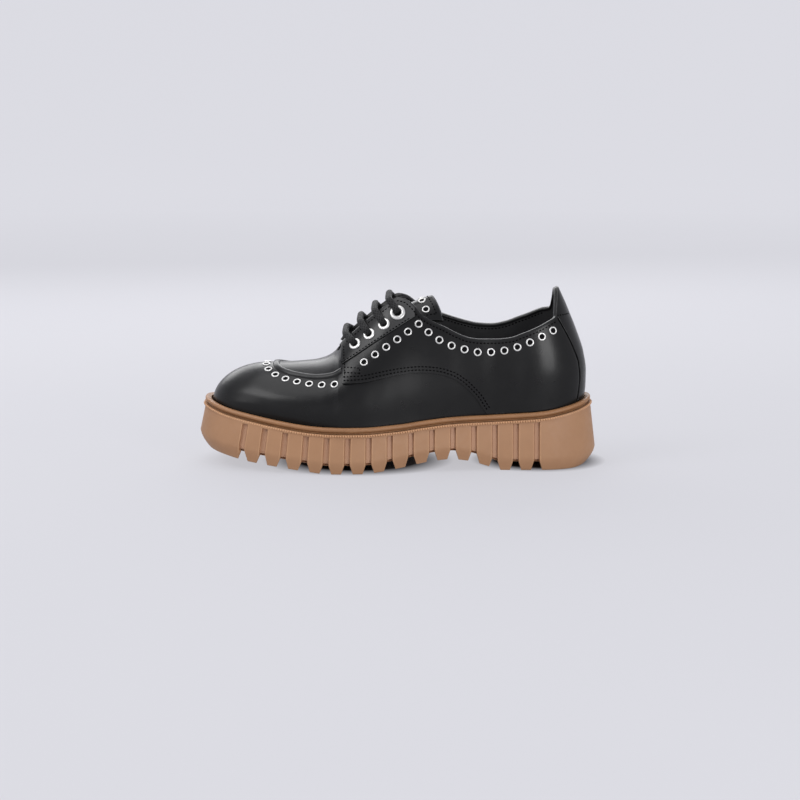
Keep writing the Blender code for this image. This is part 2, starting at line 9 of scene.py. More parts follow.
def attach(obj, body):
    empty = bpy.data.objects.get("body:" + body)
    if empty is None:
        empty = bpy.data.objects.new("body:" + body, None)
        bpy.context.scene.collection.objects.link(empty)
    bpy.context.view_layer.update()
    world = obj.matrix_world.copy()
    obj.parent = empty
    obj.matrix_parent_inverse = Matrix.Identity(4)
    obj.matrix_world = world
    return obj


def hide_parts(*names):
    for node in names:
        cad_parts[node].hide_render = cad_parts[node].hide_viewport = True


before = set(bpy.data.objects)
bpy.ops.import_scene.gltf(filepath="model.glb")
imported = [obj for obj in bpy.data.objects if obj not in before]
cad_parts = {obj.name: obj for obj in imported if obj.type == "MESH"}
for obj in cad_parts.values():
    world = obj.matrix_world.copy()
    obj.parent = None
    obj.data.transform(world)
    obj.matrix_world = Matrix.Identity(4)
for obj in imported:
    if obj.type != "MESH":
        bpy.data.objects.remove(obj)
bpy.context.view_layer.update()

# Outsole
# A thick moulded unit of gum rubber with toe spring, a raised arch and a heel block, cemented under the welt.
# Slots cut its side into lugs, and each slot opens into a flared groove across the tread.
MM = 0.001
OUTER, INNER = -1, 1
SIDES = {"lateral": OUTER, "medial": INNER}
HALF_LENGTH, SOLE_MIDDLE = 140.0, 0.164
TOE_START, TOE_ROUND = -72.0, 2.25
HEEL_START, HEEL_ROUND = 96.0, 2.2
Sole = namedtuple("Sole", "x half centre tip top lean")
SOLE = [
    Sole(-140, 45.0, 5.5, 12.5, 43.2, 0.00),
    Sole(-120, 45.5, 5.0, 9.8, 37.6, 0.07),
    Sole(-100, 46.8, 4.0, 6.7, 34.0, 0.115),
    Sole(-80, 48.8, 2.5, 4.2, 30.8, 0.105),
    Sole(-60, 50.6, 1.0, 1.5, 28.2, 0.07),
    Sole(-47, 50.6, -0.5, 0.0, 27.45, 0.044),
    Sole(-25, 48.6, -2.2, 0.0, 27.3, 0.015),
    Sole(0, 43.6, -2.6, 3.0, 28.6, 0.00),
    Sole(20, 40.2, -2.4, 6.8, 31.0, 0.00),
    Sole(36, 38.6, -1.8, 8.4, 32.6, 0.00),
    Sole(50, 37.6, -1.0, 6.8, 33.3, 0.00),
    Sole(62, 37.2, -0.5, 3.2, 33.7, 0.00),
    Sole(73, 37.0, 0.0, 0.0, 34.2, 0.00),
    Sole(100, 37.0, 0.0, 0.0, 36.0, 0.00),
    Sole(120, 37.0, 0.0, 0.0, 39.4, 0.00),
    Sole(140, 37.0, 0.0, 1.6, 44.6, 0.00),
]
Side = namedtuple("Side", "inset end_inset from_tip from_top slotted")
SOLE_SIDE = [
    Side(2.9, 7.3, 0.0, None, False),
    Side(2.3, 6.7, 0.1, None, False),
    Side(2.0, 6.2, 0.4, None, True),
    Side(1.8, 5.4, 1.2, None, True),
    Side(1.3, 3.6, 3.0, None, True),
    Side(0.8, 2.0, 5.0, None, True),
    Side(0.25, 0.7, 7.4, None, True),
    Side(0.0, 0.0, 10.0, None, True),
    Side(3.0, 3.3, None, -5.0, True),
    Side(3.4, 3.7, None, -2.7, True),
    Side(3.5, 3.8, None, -2.2, False),
    Side(3.5, 3.8, None, -0.9, False),
    Side(3.7, 4.0, None, -0.1, False),
    Side(4.6, 4.9, None, 0.0, False),
]
SLOTS, SLOT_FIRST, SLOT_PITCH, SLOT_MIDDLE = 15, -107.1, 14.55, 13.0
SLOT_HALF, SLOT_WALL, SLOT_DEPTH, SLOT_RIM, SLOT_CORNER = 1.85, 0.5, 2.6, 0.9, 0.25
SLOT_STEPS = (0.0, 0.8, 1.3, 1.5, 1.65, 1.8, 1.95, 2.1, 2.25, 2.5, 2.9, 3.3, 3.55, 3.7, 3.8, 3.9,
              4.0, 4.1, 4.5)
GROOVE_HALF, GROOVE_RISE, GROOVE_STEP, GROOVE_CORNER = 3.9, 6.2, 0.25, 0.1
SOLE_END_STATIONS, PULL_POWER = 22, 2.2
SHOE_INSIDE = Vector((0.0, 0.0, 0.05))
WELD, SHARP = 0.001 * MM, math.radians(40.0)
GUM, GUM_DEEP = (0.325, 0.172, 0.087, 1), (0.28, 0.144, 0.071, 1)
# GUM_PAINTED_SLOT is painted light: the slot floors take this paler colour by their depth, easing the shade
# in them.
GUM_PALE, GUM_PAINTED_SLOT = (0.47, 0.27, 0.15, 1), (0.45, 0.255, 0.155, 1)
GUM_MATT = 0.56


def smooth(at, of):
    """Values at stations as a function of the station, with no overshoot between them."""
    rise = [(b - a) / (d - c) for a, b, c, d in zip(of, of[1:], at, at[1:])]
    slope = [rise[0]]
    for a, b in zip(rise, rise[1:]):
        slope.append(2 * a * b / (a + b) if a * b > 0 else 0.0)
    slope.append(rise[-1])

    def value(x):
        x = min(max(x, at[0]), at[-1])
        i = 0
        while i < len(at) - 2 and at[i + 1] <= x:
            i += 1
        span = at[i + 1] - at[i]
        t = (x - at[i]) / span
        hold = of[i] * (1 + 2 * t) * (1 - t) ** 2 + of[i + 1] * t * t * (3 - 2 * t)
        turn = slope[i] * t * (1 - t) ** 2 - slope[i + 1] * t * t * (1 - t)
        return hold + span * turn

    return value


def columns(rows):
    """Every column of a table after the first, as a function of the first."""
    at, *others = zip(*rows)
    return [smooth(at, of) for of in others]


sole_half, sole_line, sole_tip, sole_top, sole_lean = columns(SOLE)


def sole_centre(x):
    """Middle line of the sole, moved so that the whole shoe is centred on y = 0."""
    return sole_line(x) - SOLE_MIDDLE


def end_reach(x):
    """How far round the toe or the heel a station lies, from 0 where the end starts to 1 at its tip."""
    if x < TOE_START:
        return (TOE_START - x) / (TOE_START + HALF_LENGTH)
    return max(0.0, (x - HEEL_START) / (HALF_LENGTH - HEEL_START))


def end_share(x):
    """Share of the full width that is left in the rounded toe and heel."""
    power = TOE_ROUND if x < TOE_START else HEEL_ROUND
    return max(0.0, 1.0 - min(end_reach(x), 1.0) ** power) ** (1.0 / power)


def outline(x, inset, end_inset):
    """Place along the foot and the two edges of the sole's outline at station x, moved in."""
    half = (sole_half(x) - inset) * end_share(x)
    return x * (1 - end_inset / HALF_LENGTH), sole_centre(x) - half, sole_centre(x) + half


def spaced(low, high, count, ease_low=True, ease_high=True):
    """Stations from low to high that draw closer towards one end or both."""
    places = []
    for i in range(count + 1):
        t = i / count
        if ease_low and ease_high:
            t = (1 - math.cos(math.pi * t)) / 2
        elif ease_low:
            t = 1 - math.cos(math.pi * t / 2)
        else:
            t = math.sin(math.pi * t / 2)
        places.append(low + (high - low) * t)
    return places


def soft_step(t, corner):
    """Ramp from 0 to 1 with rounded corners."""
    if t > 0.5:
        return 1 - soft_step(1 - t, corner)
    if t < -corner:
        return 0.0
    return (t + corner) ** 2 / (4 * corner) if t < corner else t


def tread_stations():
    """Stations of the sole with the rise of the tread and the depth of the slot at each."""
    first = SLOT_FIRST + sole_lean(SLOT_FIRST) * SLOT_MIDDLE - SLOT_STEPS[-1]
    last = SLOT_FIRST + SLOT_PITCH * (SLOTS - 1) + SLOT_STEPS[-1]
    found = [(x, 0.0, 0.0) for x in spaced(-HALF_LENGTH, first, SOLE_END_STATIONS, True, False)[:-1]]
    for number in range(SLOTS):
        x = SLOT_FIRST + SLOT_PITCH * number
        x += sole_lean(x) * SLOT_MIDDLE
        for off in [-u for u in SLOT_STEPS[:0:-1]] + list(SLOT_STEPS):
            flare = (GROOVE_HALF - abs(off)) / (GROOVE_HALF - SLOT_HALF)
            wall = (SLOT_HALF + SLOT_WALL / 2 - abs(off)) / SLOT_WALL
            rim = max(0.0, 1 - abs(abs(off) - SLOT_HALF - SLOT_WALL / 2) / SLOT_RIM)
            cut = soft_step(wall, SLOT_CORNER)
            # Beside each slot the value goes below zero to pale its rim: partly wear and partly a painted
            # highlight.
            found.append((x + off, GROOVE_RISE * soft_step(flare, GROOVE_CORNER), cut if cut > 0 else -rim))
    found += [(x, 0.0, 0.0) for x in spaced(last, HALF_LENGTH, SOLE_END_STATIONS, False, True)[1:]]
    return found


def sole_section(x, rise, cut):
    """Closed section of the sole, up its outer side and down its inner side, and how deep each point lies."""
    up, down, deep = [], [], []
    pull = math.copysign(end_reach(x) ** PULL_POWER, x)
    for number, row in enumerate(SOLE_SIDE):
        inset = row.inset + (SLOT_DEPTH * max(cut, 0.0) if row.slotted else 0.0)
        at, outer, inner = outline(x, inset, 0.0)
        at -= row.end_inset * pull
        top, z = sole_top(at), sole_tip(at)
        if row.from_tip is None:
            z = top + row.from_top
        else:
            z += max(row.from_tip, rise + GROOVE_STEP * number)
        at += sole_lean(at) * (z - top)
        up.append(Vector((at, outer, z)))
        down.append(Vector((at, inner, z)))
        deep.append(cut if row.slotted else 0.0)
    return up + down[::-1], deep + deep[::-1]


def grid_mesh(name, grids, around=False, depths=None):
    """Mesh over grids of points in millimetres, welded where they meet and facing out of the shoe."""
    work = bmesh.new()
    recess = work.verts.layers.float.new("recess")
    for number, grid in enumerate(grids):
        rows = [[work.verts.new(point * MM) for point in line] for line in grid]
        if depths:
            for line, values in zip(rows, depths[number]):
                for vert, value in zip(line, values):
                    vert[recess] = value
        for a, b in zip(rows, rows[1:]):
            for i in range(len(a) if around else len(a) - 1):
                j = (i + 1) % len(a)
                work.faces.new((a[i], a[j], b[j], b[i]))
    bmesh.ops.remove_doubles(work, verts=work.verts, dist=WELD)
    bmesh.ops.dissolve_degenerate(work, edges=work.edges, dist=WELD)
    bmesh.ops.recalc_face_normals(work, faces=work.faces)
    if sum(f.normal.dot(f.calc_center_median() - SHOE_INSIDE) * f.calc_area() for f in work.faces) < 0:
        bmesh.ops.reverse_faces(work, faces=work.faces)
    mesh = bpy.data.meshes.new(name)
    work.to_mesh(mesh)
    work.free()
    mesh.shade_smooth()
    mesh.set_sharp_from_angle(angle=SHARP)
    return mesh


def in_scene(name, data):
    """Object with a mesh, a lamp or a lens, placed in the scene."""
    made = bpy.data.objects.new(name, data)
    bpy.context.scene.collection.objects.link(made)
    return made


def shoe_piece(mesh, finishes, nodes=()):
    """Piece of the shoe that rides on its one body and stands for the solids it is made over."""
    for finish in finishes:
        mesh.materials.append(finish)
    made = in_scene(mesh.name, mesh)
    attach(made, "root")
    if nodes:
        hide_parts(*nodes)
    return made


class Shader:
    """A shader tree and the sockets it ends in, with short ways to add nodes and join them."""

    def __init__(self, tree, ends):
        self.tree, self.ends = tree, ends

    def join(self, value, socket):
        """Set a socket to a plain value, or link it to the output of another node."""
        if isinstance(value, bpy.types.NodeSocket):
            self.tree.links.new(value, socket)
        else:
            socket.default_value = value

    def put(self, **values):
        """Set or link the sockets the tree ends in."""
        for label, value in values.items():
            self.join(value, self.ends[label.replace("_", " ").title().replace("Ior", "IOR")])

    def node(self, kind, sockets=None, **settings):
        """Outputs of a new node, its sockets set to values or joined to the outputs of other nodes."""
        made = self.tree.nodes.new("ShaderNode" + kind)
        for name, value in settings.items():
            setattr(made, name, value)
        for name, value in (sockets or {}).items():
            self.join(value, made.inputs[name])
        return made.outputs

    def use(self, group, **values):
        """Outputs of a shader group placed in the tree, with its own values."""
        sockets = {label.capitalize(): value for label, value in values.items()}
        return self.node("Group", sockets, node_tree=group)

    def blend(self, share, under, over):
        """Colour that goes from one to another with a share."""
        return self.node("Mix", {0: share, 6: under, 7: over}, data_type="RGBA")[2]

    def combine(self, operation, a, b):
        """Result of an operation on two values."""
        return self.node("Math", {0: a, 1: b}, operation=operation)[0]

    def ranged(self, value, low, high, to_low=0.0, to_high=1.0):
        """Value moved from one range to another and held there."""
        return self.node("MapRange", {0: value, 1: low, 2: high, 3: to_low, 4: to_high})[0]

    def speckle(self, scale, detail=2.0, roughness=0.5):
        """Even noise in the shoe's own space, so that its grain keeps one size on every piece."""
        space = self.node("TexCoord")["Object"]
        return self.node("TexNoise", {"Vector": space, "Scale": scale, "Detail": detail,
                                      "Roughness": roughness})[0]

    def raise_grain(self, height, strength, distance):
        """Relief of a finish, too fine for the mesh."""
        bump = {"Height": height, "Strength": strength, "Distance": distance * MM}
        self.put(normal=self.node("Bump", bump)[0])


def shader_group(name, inputs, outputs):
    """Empty shader group with named sockets, its shader, and the sockets of what it is given."""
    tree = bpy.data.node_groups.new(name, "ShaderNodeTree")
    for way, sockets in (("INPUT", inputs), ("OUTPUT", outputs)):
        for label, kind in sockets.items():
            tree.interface.new_socket(name=label, in_out=way, socket_type="NodeSocket" + kind)
    given = tree.nodes.new("NodeGroupInput").outputs
    return tree, Shader(tree, tree.nodes.new("NodeGroupOutput").inputs), given


def new_finish(name, **values):
    """Material with a Principled shader whose plain values are set on its own sockets."""
    made = bpy.data.materials.new(name)
    made.use_nodes = True
    shader = Shader(made.node_tree, made.node_tree.nodes["Principled BSDF"].inputs)
    shader.put(**values)
    return made, shader


# Edge wear and painted highlight: sharp edges are paled in patches, partly as wear and partly as a painted
# highlight where the edges catch light.
edge_wear_and_highlight, shader, given = shader_group(
    "edge wear and highlight", dict(Colour="Color", Worn="Color", Amount="Float"), dict(Colour="Color"))
ridges = shader.ranged(shader.node("NewGeometry")["Pointiness"], 0.505, 0.57)
patches = shader.ranged(shader.speckle(140.0), 0.3, 0.65, 0.35, 1.0)
patchy = shader.combine("MULTIPLY", ridges, patches)
wear_and_highlight_share = shader.combine("MULTIPLY", patchy, given["Amount"])
shader.put(colour=shader.blend(wear_and_highlight_share, given["Colour"], given["Worn"]))

moulded_rubber, shader, given = shader_group(
    "moulded rubber", dict(Colour="Color", Deep="Color", Matt="Float"),
    dict(Colour="Color", Roughness="Float", Height="Float"))
clouds = shader.ranged(shader.speckle(42.0, 4.0, 0.6), 0.38, 0.66, 0.0, 0.55)
dull = shader.ranged(shader.speckle(260.0, 3.0), 0.3, 0.7, -0.07, 0.07)
shader.put(colour=shader.blend(clouds, given["Colour"], given["Deep"]),
           roughness=shader.combine("ADD", given["Matt"], dull),
           height=shader.speckle(2100.0, 3.0, 0.6))


def gum_finish(name, colour, deep, pale, painted_slot_colour, matt):
    """Gum rubber with painted light in its slots, whose floors take a paler colour by their depth, and pale
    along its edges and slot rims, partly from wear and partly as a painted highlight.
    """
    made, shader = new_finish(name, specular_ior_level=0.42)
    rubber = shader.use(moulded_rubber, colour=colour, deep=deep, matt=matt)
    worn = shader.use(edge_wear_and_highlight, colour=rubber["Colour"], worn=pale, amount=0.55)["Colour"]
    recess = shader.node("Attribute", attribute_name="recess")["Fac"]
    # Pale slot rims: partly wear and partly a painted highlight.
    rimmed = shader.blend(shader.ranged(recess, 0.0, -1.0, 0.0, 0.6), worn, pale)
    # Painted light in the slots: the colour goes over to the paler slot colour with the depth of the slot.
    shade = shader.ranged(recess, 0.35, 1.0, 0.0, 0.85)
    shader.put(base_color=shader.blend(shade, rimmed, painted_slot_colour), roughness=rubber["Roughness"])
    shader.raise_grain(rubber["Height"], strength=0.16, distance=0.25)
    return made


gum = gum_finish("gum rubber", GUM, GUM_DEEP, GUM_PALE, GUM_PAINTED_SLOT, GUM_MATT)
sections, depths = zip(*[sole_section(*spot) for spot in tread_stations()])
shoe_piece(grid_mesh("outsole_gum", [sections], True, [depths]), [gum], ["outsole"])

# Welt
# A gum-rubber strip cemented round the foot of the upper: a rolled lip on top and a groove under it.
# Below the groove the rim of the sole carries a row of small moulded teeth like a coarse sewn seam.
CLEAR = 0.3
WELT_RISE, WELT_INNER_INSET, WELT_STATIONS = 4.6, 7.9, 130
LIP_FOOT = [(5.6, CLEAR), (6.0, 0.9)]
LIP_MIDDLE, LIP_HALF = (5.75, 2.95), (1.95, 1.65)
LIP_STEPS, LIP_START, LIP_TURN = 14, -62, 152
LIP_BACK = [(6.9, WELT_RISE - 0.08), (WELT_INNER_INSET, WELT_RISE - 0.3), (WELT_INNER_INSET, CLEAR)]
TOOTH, TOOTH_STATIONS = (1.35, 1.7, 1.7), 400
TOOTH_PITCH, TOOTH_INSET, TOOTH_DROP = 1.75, 3.35, 0.85
PILL_RINGS, PILL_SIDES, PILL_TIP = 6, 7, 0.25
WELT_GUM, WELT_DEEP, WELT_PALE = (0.26, 0.124, 0.052, 1), (0.19, 0.088, 0.036, 1), (0.38, 0.205, 0.095, 1)
TEETH_GUM, TEETH_DEEP = (0.50, 0.27, 0.135, 1), (0.41, 0.21, 0.10, 1)
WELT_MATT, TEETH_MATT = 0.48, 0.5


def arc(steps, start=0, turn=360):
    """Cosines and sines of even steps round a turn in degrees, with both its ends."""
    angles = [math.radians(start + turn * i / steps) for i in range(steps + 1)]
    return [(math.cos(angle), math.sin(angle)) for angle in angles]


def lip_profile():
    """Section of the welt: inset from the sole's outline and height above the sole's top."""
    (inset, rise), (wide, high) = LIP_MIDDLE, LIP_HALF
    roll = [(inset - wide * c, rise + high * s) for c, s in arc(LIP_STEPS, LIP_START, LIP_TURN)]
    return LIP_FOOT + roll + LIP_BACK


def rim_path(inset, rise, count):
    """Points round the sole's outline, from the heel along the outer side to the toe and back."""
    spots = [outline(x, inset, inset) for x in spaced(-HALF_LENGTH, HALF_LENGTH, count)]
    outer = [Vector((s[0], s[1], sole_top(s[0]) + rise)) for s in spots[::-1]]
    inner = [Vector((s[0], s[2], sole_top(s[0]) + rise)) for s in spots]
    return outer + inner[1:]


def ring_faces(rings, points, closed=True):
    """Faces between rings that follow one another, each of a number of points."""
    faces = []
    for i in range(rings - 1):
        for k in range(points if closed else points - 1):
            a, b = i * points + k, i * points + (k + 1) % points
            faces.append((a, b, b + points, a + points))
    return faces


def pill(length, width, height, sag=0.0):
    """Points and faces of a rounded bar that lies along x, with its ends drawn down by the sag."""
    points = []
    for i in range(PILL_RINGS + 1):
        t = -math.cos(math.pi * i / PILL_RINGS)
        girth = max(PILL_TIP, (1 - t ** 4) ** 0.5)
        for c, s in arc(PILL_SIDES)[:-1]:
            points.append(Vector((t * length / 2, c * girth * width / 2,
                                  s * girth * height / 2 - sag * t * t)))
    ends = [tuple(range(PILL_SIDES))[::-1], tuple(PILL_RINGS * PILL_SIDES + k for k in range(PILL_SIDES))]
    return points, ring_faces(PILL_RINGS + 1, PILL_SIDES) + ends


def path_frames(points, normals, pitch):
    """Frames at an even pitch along a path: x runs along it and z stands out of the surface."""
    frames, walked, due = [], 0.0, 0.0
    for a, b, n, m in zip(points, points[1:], normals, normals[1:]):
        length = (b - a).length
        while length > 0 and due <= walked + length:
            t = (due - walked) / length
            along = (b - a).normalized()
            out = n.lerp(m, t)
            out = (out - along * out.dot(along)).normalized()
            turned = Matrix((along, out.cross(along), out)).transposed().to_4x4()
            frames.append(Matrix.Translation(a.lerp(b, t)) @ turned)
            due += pitch
        walked += length
    return frames


def repeat_mesh(name, form, frames, sharp=50.0):
    """One joined mesh with a small form at every frame."""
    points, faces = [], []
    for spot in frames:
        start = len(points)
        points += [(spot @ point) * MM for point in form[0]]
        faces += [tuple(start + i for i in face) for face in form[1]]
    mesh = bpy.data.meshes.new(name)
    mesh.from_pydata(points, [], faces)
    mesh.shade_smooth()
    mesh.set_sharp_from_angle(angle=math.radians(sharp))
    return mesh


gum_welt = gum_finish("gum rubber welt", WELT_GUM, WELT_DEEP, WELT_PALE, WELT_DEEP, WELT_MATT)
ring = [rim_path(inset, rise, WELT_STATIONS) for inset, rise in lip_profile()]
shoe_piece(grid_mesh("welt_lip", [ring + ring[:1]]), [gum_welt], ["welt"])

gum_teeth = gum_finish("gum rubber teeth", TEETH_GUM, TEETH_DEEP, GUM_PALE, TEETH_DEEP, TEETH_MATT)
tooth_path = rim_path(TOOTH_INSET, -TOOTH_DROP, TOOTH_STATIONS)
tooth_out = []
for before, after in zip(tooth_path[:1] + tooth_path, tooth_path[1:] + tooth_path[-1:]):
    run = after - before
    tooth_out.append(Vector((-run.y, run.x, 0.0)).normalized())
tooth_frames = path_frames(tooth_path, tooth_out, TOOTH_PITCH)
shoe_piece(repeat_mesh("welt_teeth", pill(*TOOTH), tooth_frames), [gum_teeth])

# Insole
# A thin footbed covered in black lining leather, laid loose on the sole inside the upper.
# Its edge is rounded and its top is very slightly dished.
INSOLE, INSOLE_INSET, INSOLE_END_INSET = 3.0, 10.9, 11.7
INSOLE_STATIONS, INSOLE_ACROSS, INSOLE_EDGE = 60, 12, 1.0
INSOLE_DISH, INSOLE_TURN, INSOLE_TURN_POWER = 0.5, 0.2, 8
WARP_SCALE, WARP_REACH = 500.0, 0.0008
Leather = namedtuple("Leather", "colour bloom worn cells matt relief coat")
LINING = Leather((0.028, 0.028, 0.0286, 1), (0.05, 0.05, 0.051, 1), (0.05, 0.05, 0.051, 1), 1100.0,
                 0.5, 0.2, 0.0)

leather_grain, shader, given = shader_group(
    "leather grain", dict(Colour="Color", Bloom="Color", Cells="Float", Matt="Float"),
    dict(Colour="Color", Roughness="Float", Height="Float"))
space = shader.node("TexCoord")["Object"]
warp = shader.node("TexNoise", {"Vector": space, "Scale": WARP_SCALE, "Detail": 2.0})[1]
bent = shader.node("VectorMath", {0: warp, 3: WARP_REACH}, operation="SCALE")[0]
pebbled = shader.node("VectorMath", {0: space, 1: bent}, operation="ADD")[0]
cells = shader.node("TexVoronoi", {"Vector": pebbled, "Scale": given["Cells"]}, feature="SMOOTH_F1")[0]
pebbles = shader.ranged(cells, 0.0, 0.7, 1.0, 0.0)
pores = shader.ranged(shader.speckle(5200.0, 1.0), 0.3, 0.5)
hazy = shader.ranged(shader.speckle(36.0, 3.0, 0.6), 0.35, 0.7, 0.0, 0.7)
rubbed = shader.ranged(shader.speckle(90.0, 4.0, 0.65), 0.3, 0.7, -0.06, 0.06)
shader.put(colour=shader.blend(hazy, given["Colour"], given["Bloom"]),
           roughness=shader.combine("ADD", given["Matt"], rubbed),
           height=shader.combine("MULTIPLY", pebbles, pores))


def leather_finish(name, hide, painted_highlight=None):
    """Dyed leather with a fine pebbled grain, hazy patches and pale edges, partly where the dye has rubbed
    thin and partly a painted highlight; when given, a painted highlight lightens it from front to rear.
    """
    made, shader = new_finish(name, specular_ior_level=0.16, coat_weight=hide.coat, coat_roughness=0.2)
    grain = shader.use(leather_grain, colour=hide.colour, bloom=hide.bloom, cells=hide.cells, matt=hide.matt)
    dye_and_painted_highlight = grain["Colour"]
    # Painted highlight: the colour lightens along x from the front mark to the rear one.
    if painted_highlight:
        along = shader.node("SeparateXYZ", {0: shader.node("TexCoord")["Object"]})[0]
        dye_and_painted_highlight = shader.blend(shader.ranged(along, painted_highlight.front * MM, painted_highlight.rear * MM), dye_and_painted_highlight, painted_highlight.colour)
    worn = shader.use(edge_wear_and_highlight, colour=dye_and_painted_highlight, worn=hide.worn, amount=0.6)["Colour"]
    shader.put(base_color=worn, roughness=grain["Roughness"])
    shader.raise_grain(grain["Height"], strength=hide.relief, distance=0.12)
    return made


lining = leather_finish("black lining leather", LINING)
footbed = []
for x in spaced(-HALF_LENGTH, HALF_LENGTH, INSOLE_STATIONS):
    at, outer, inner = outline(x, INSOLE_INSET, INSOLE_END_INSET)
    half, middle = (inner - outer) / 2, (inner + outer) / 2
    low = sole_top(at) + CLEAR
    rim = low + INSOLE - INSOLE_EDGE
    line = [Vector((at, outer, low)), Vector((at, outer, rim))]
    for i in range(INSOLE_ACROSS + 1):
        share = 2 * i / INSOLE_ACROSS - 1
        inward = max(0.0, half - INSOLE_EDGE * (1 - abs(share)))
        sunk = INSOLE_DISH * (1 - share * share) + INSOLE_TURN * share ** INSOLE_TURN_POWER
        line.append(Vector((at, middle + share * inward, low + INSOLE - sunk)))
    footbed.append(line + [Vector((at, inner, rim)), Vector((at, inner, low))])
shoe_piece(grid_mesh("insole_footbed", [footbed], True), [lining], ["insole"])

# Upper
# One shell of smooth black box calf pulled over the last, lined inside, closed over the toe and the vamp.
# Behind the throat it is open along the facings and the collar, and it runs up into the heel tab.
WALL, WALL_ROUND = 2.0, 0.5
ROUND_STEPS, ROUND_ANGLE = 3, math.radians(55)
UPPER_INSET, UPPER_END_INSET = 8.6, 8.8
UPPER_REACH = 1 - UPPER_END_INSET / HALF_LENGTH
UPPER_END = HALF_LENGTH * UPPER_REACH
NOSE_LENGTH, NOSE_POWER = 38.0, 2.0
BULGE_PLACE = 0.75
HEEL_PIVOT = 70.0
VAMP_END = -44.0
UPPER_STATIONS, UPPER_ROWS = 200, 44
EDGE_TURNS_END, TURN_CLEAR = 100, 0.4
NUDGE, FLAT = 0.2, 0.01
Form = namedtuple("Form", "x ridge round square bulge lean")
FORM = [
    Form(-131, 71.0, 2.10, 1.90, 0.5, 0.0),
    Form(-100, 69.6, 2.20, 1.90, 2.0, 0.0),
    Form(-81, 70.0, 2.25, 1.92, 3.2, 0.5),
    Form(-60, 71.4, 2.40, 2.00, 3.6, 1.5),
    Form(-52, 73.2, 2.45, 2.04, 3.6, 2.0),
    Form(-44, 78.0, 2.30, 1.96, 3.5, 2.5),
    Form(-37, 90.5, 1.94, 1.68, 3.4, 3.0),
    Form(-20, 107.0, 1.90, 1.62, 3.2, 3.0),
    Form(-2, 123.5, 1.88, 1.60, 3.0, 2.5),
    Form(20, 132.0, 1.90, 1.50, 2.8, 2.0),
    Form(40, 142.0, 2.10, 1.40, 2.6, 1.0),
    Form(60, 150.0, 2.20, 1.35, 2.5, 0.0),
    Form(131, 150.0, 2.20, 1.35, 2.5, 0.0),
]
Back = namedtuple("Back", "z reach")
BACK = [
    Back(40, 130.0), Back(46, 130.2), Back(55, 131.0), Back(65, 131.1), Back(78, 129.1),
    Back(93, 124.1), Back(106, 118.8), Back(114, 115.4), Back(124, 110.6),
]
Edge = namedtuple("Edge", "x outer inner")
EDGE = [
    Edge(-41, 80.4, 80.4), Edge(-37, 86.2, 86.2), Edge(-30, 92.6, 92.6), Edge(-19, 102.2, 102.2),
    Edge(-7, 111.8, 111.8), Edge(-3, 115.2, 115.2),
    Edge(1, 116.8, 116.8), Edge(6, 115.8, 115.8), Edge(12, 111.3, 111.5), Edge(16, 106.8, 107.4),
    Edge(22, 103.0, 104.8), Edge(33, 98.2, 101.4), Edge(42, 93.8, 98.3), Edge(50, 91.2, 95.9),
    Edge(57, 90.4, 94.4), Edge(67, 90.3, 93.7), Edge(78, 91.1, 95.4), Edge(89, 94.2, 98.8),
    Edge(96, 96.4, 100.9), Edge(104, 99.1, 103.6), Edge(111, 101.8, 105.8), Edge(118.4, 104.8, 107.2),
    Edge(120.4, 108.2, 108.8), Edge(122.8, 112.2, 112.2), Edge(126.7, 117.6, 117.6),
    Edge(129.8, 121.6, 121.6), Edge(131.2, 123.4, 123.4),
]
Crease = namedtuple("Crease", "side x z turn length width depth")
CREASES = [
    Crease(OUTER, -47, 49, 62, 9, 3.6, -0.16),
    Crease(OUTER, -40, 47, 66, 10, 3.6, 0.12),
    Crease(OUTER, -31, 50, 70, 9, 3.8, -0.18),
    Crease(OUTER, -16, 52, 74, 9, 4.2, -0.14),
    Crease(INNER, -46, 50, 62, 9, 2.6, -0.30),
    Crease(INNER, -34, 50, 68, 10, 3.0, -0.30),
    Crease(INNER, -18, 52, 74, 9, 3.4, -0.22),
    Crease(OUTER, 88, 62, 84, 16, 5.0, -0.25),
    Crease(INNER, 86, 62, 84, 16, 5.0, -0.25),
]
CALF = Leather((0.0042, 0.0042, 0.0042, 1), (0.0065, 0.0065, 0.0066, 1), (0.05, 0.05, 0.0505, 1), 1500.0,
               0.32, 0.13, 0.16)

form_ridge, form_round, form_square, form_bulge, form_lean = columns(FORM)
back_reach, = columns(BACK)
edge_height = dict(zip((OUTER, INNER), columns(EDGE)))


def foot_height(x):
    """Where the upper stands on the sole."""
    return sole_top(x) + CLEAR


def ridge_height(x):
    """Top of the section, falling to the sole round the toe's nose."""
    t = min(max((x + UPPER_END) / NOSE_LENGTH, 0.0), 1.0)
    nose = (1 - (1 - t) ** 2) ** (1 / NOSE_POWER)
    return foot_height(x) + (form_ridge(x) - foot_height(x)) * nose


def half_width(x, rise):
    """Half width of the section at station x, rise going from 0 at the sole to 1 at the ridge."""
    share = end_share(x / UPPER_REACH)
    full = (sole_half(x / UPPER_REACH) - UPPER_INSET) * share
    arch = max(0.0, 1 - rise ** form_round(x)) ** (1 / form_square(x))
    height = ridge_height(x) - foot_height(x)
    free = max(0.0, (rise * height - WELT_RISE) / (height - WELT_RISE)) if height > WELT_RISE else 0.0
    return full * arch + form_bulge(x) * share * math.sin(math.pi * free ** BULGE_PLACE) ** 2


def section_middle(x, rise):
    """Middle of the section, which leans to the inner side as it rises."""
    return sole_centre(x / UPPER_REACH) + form_lean(x) * rise


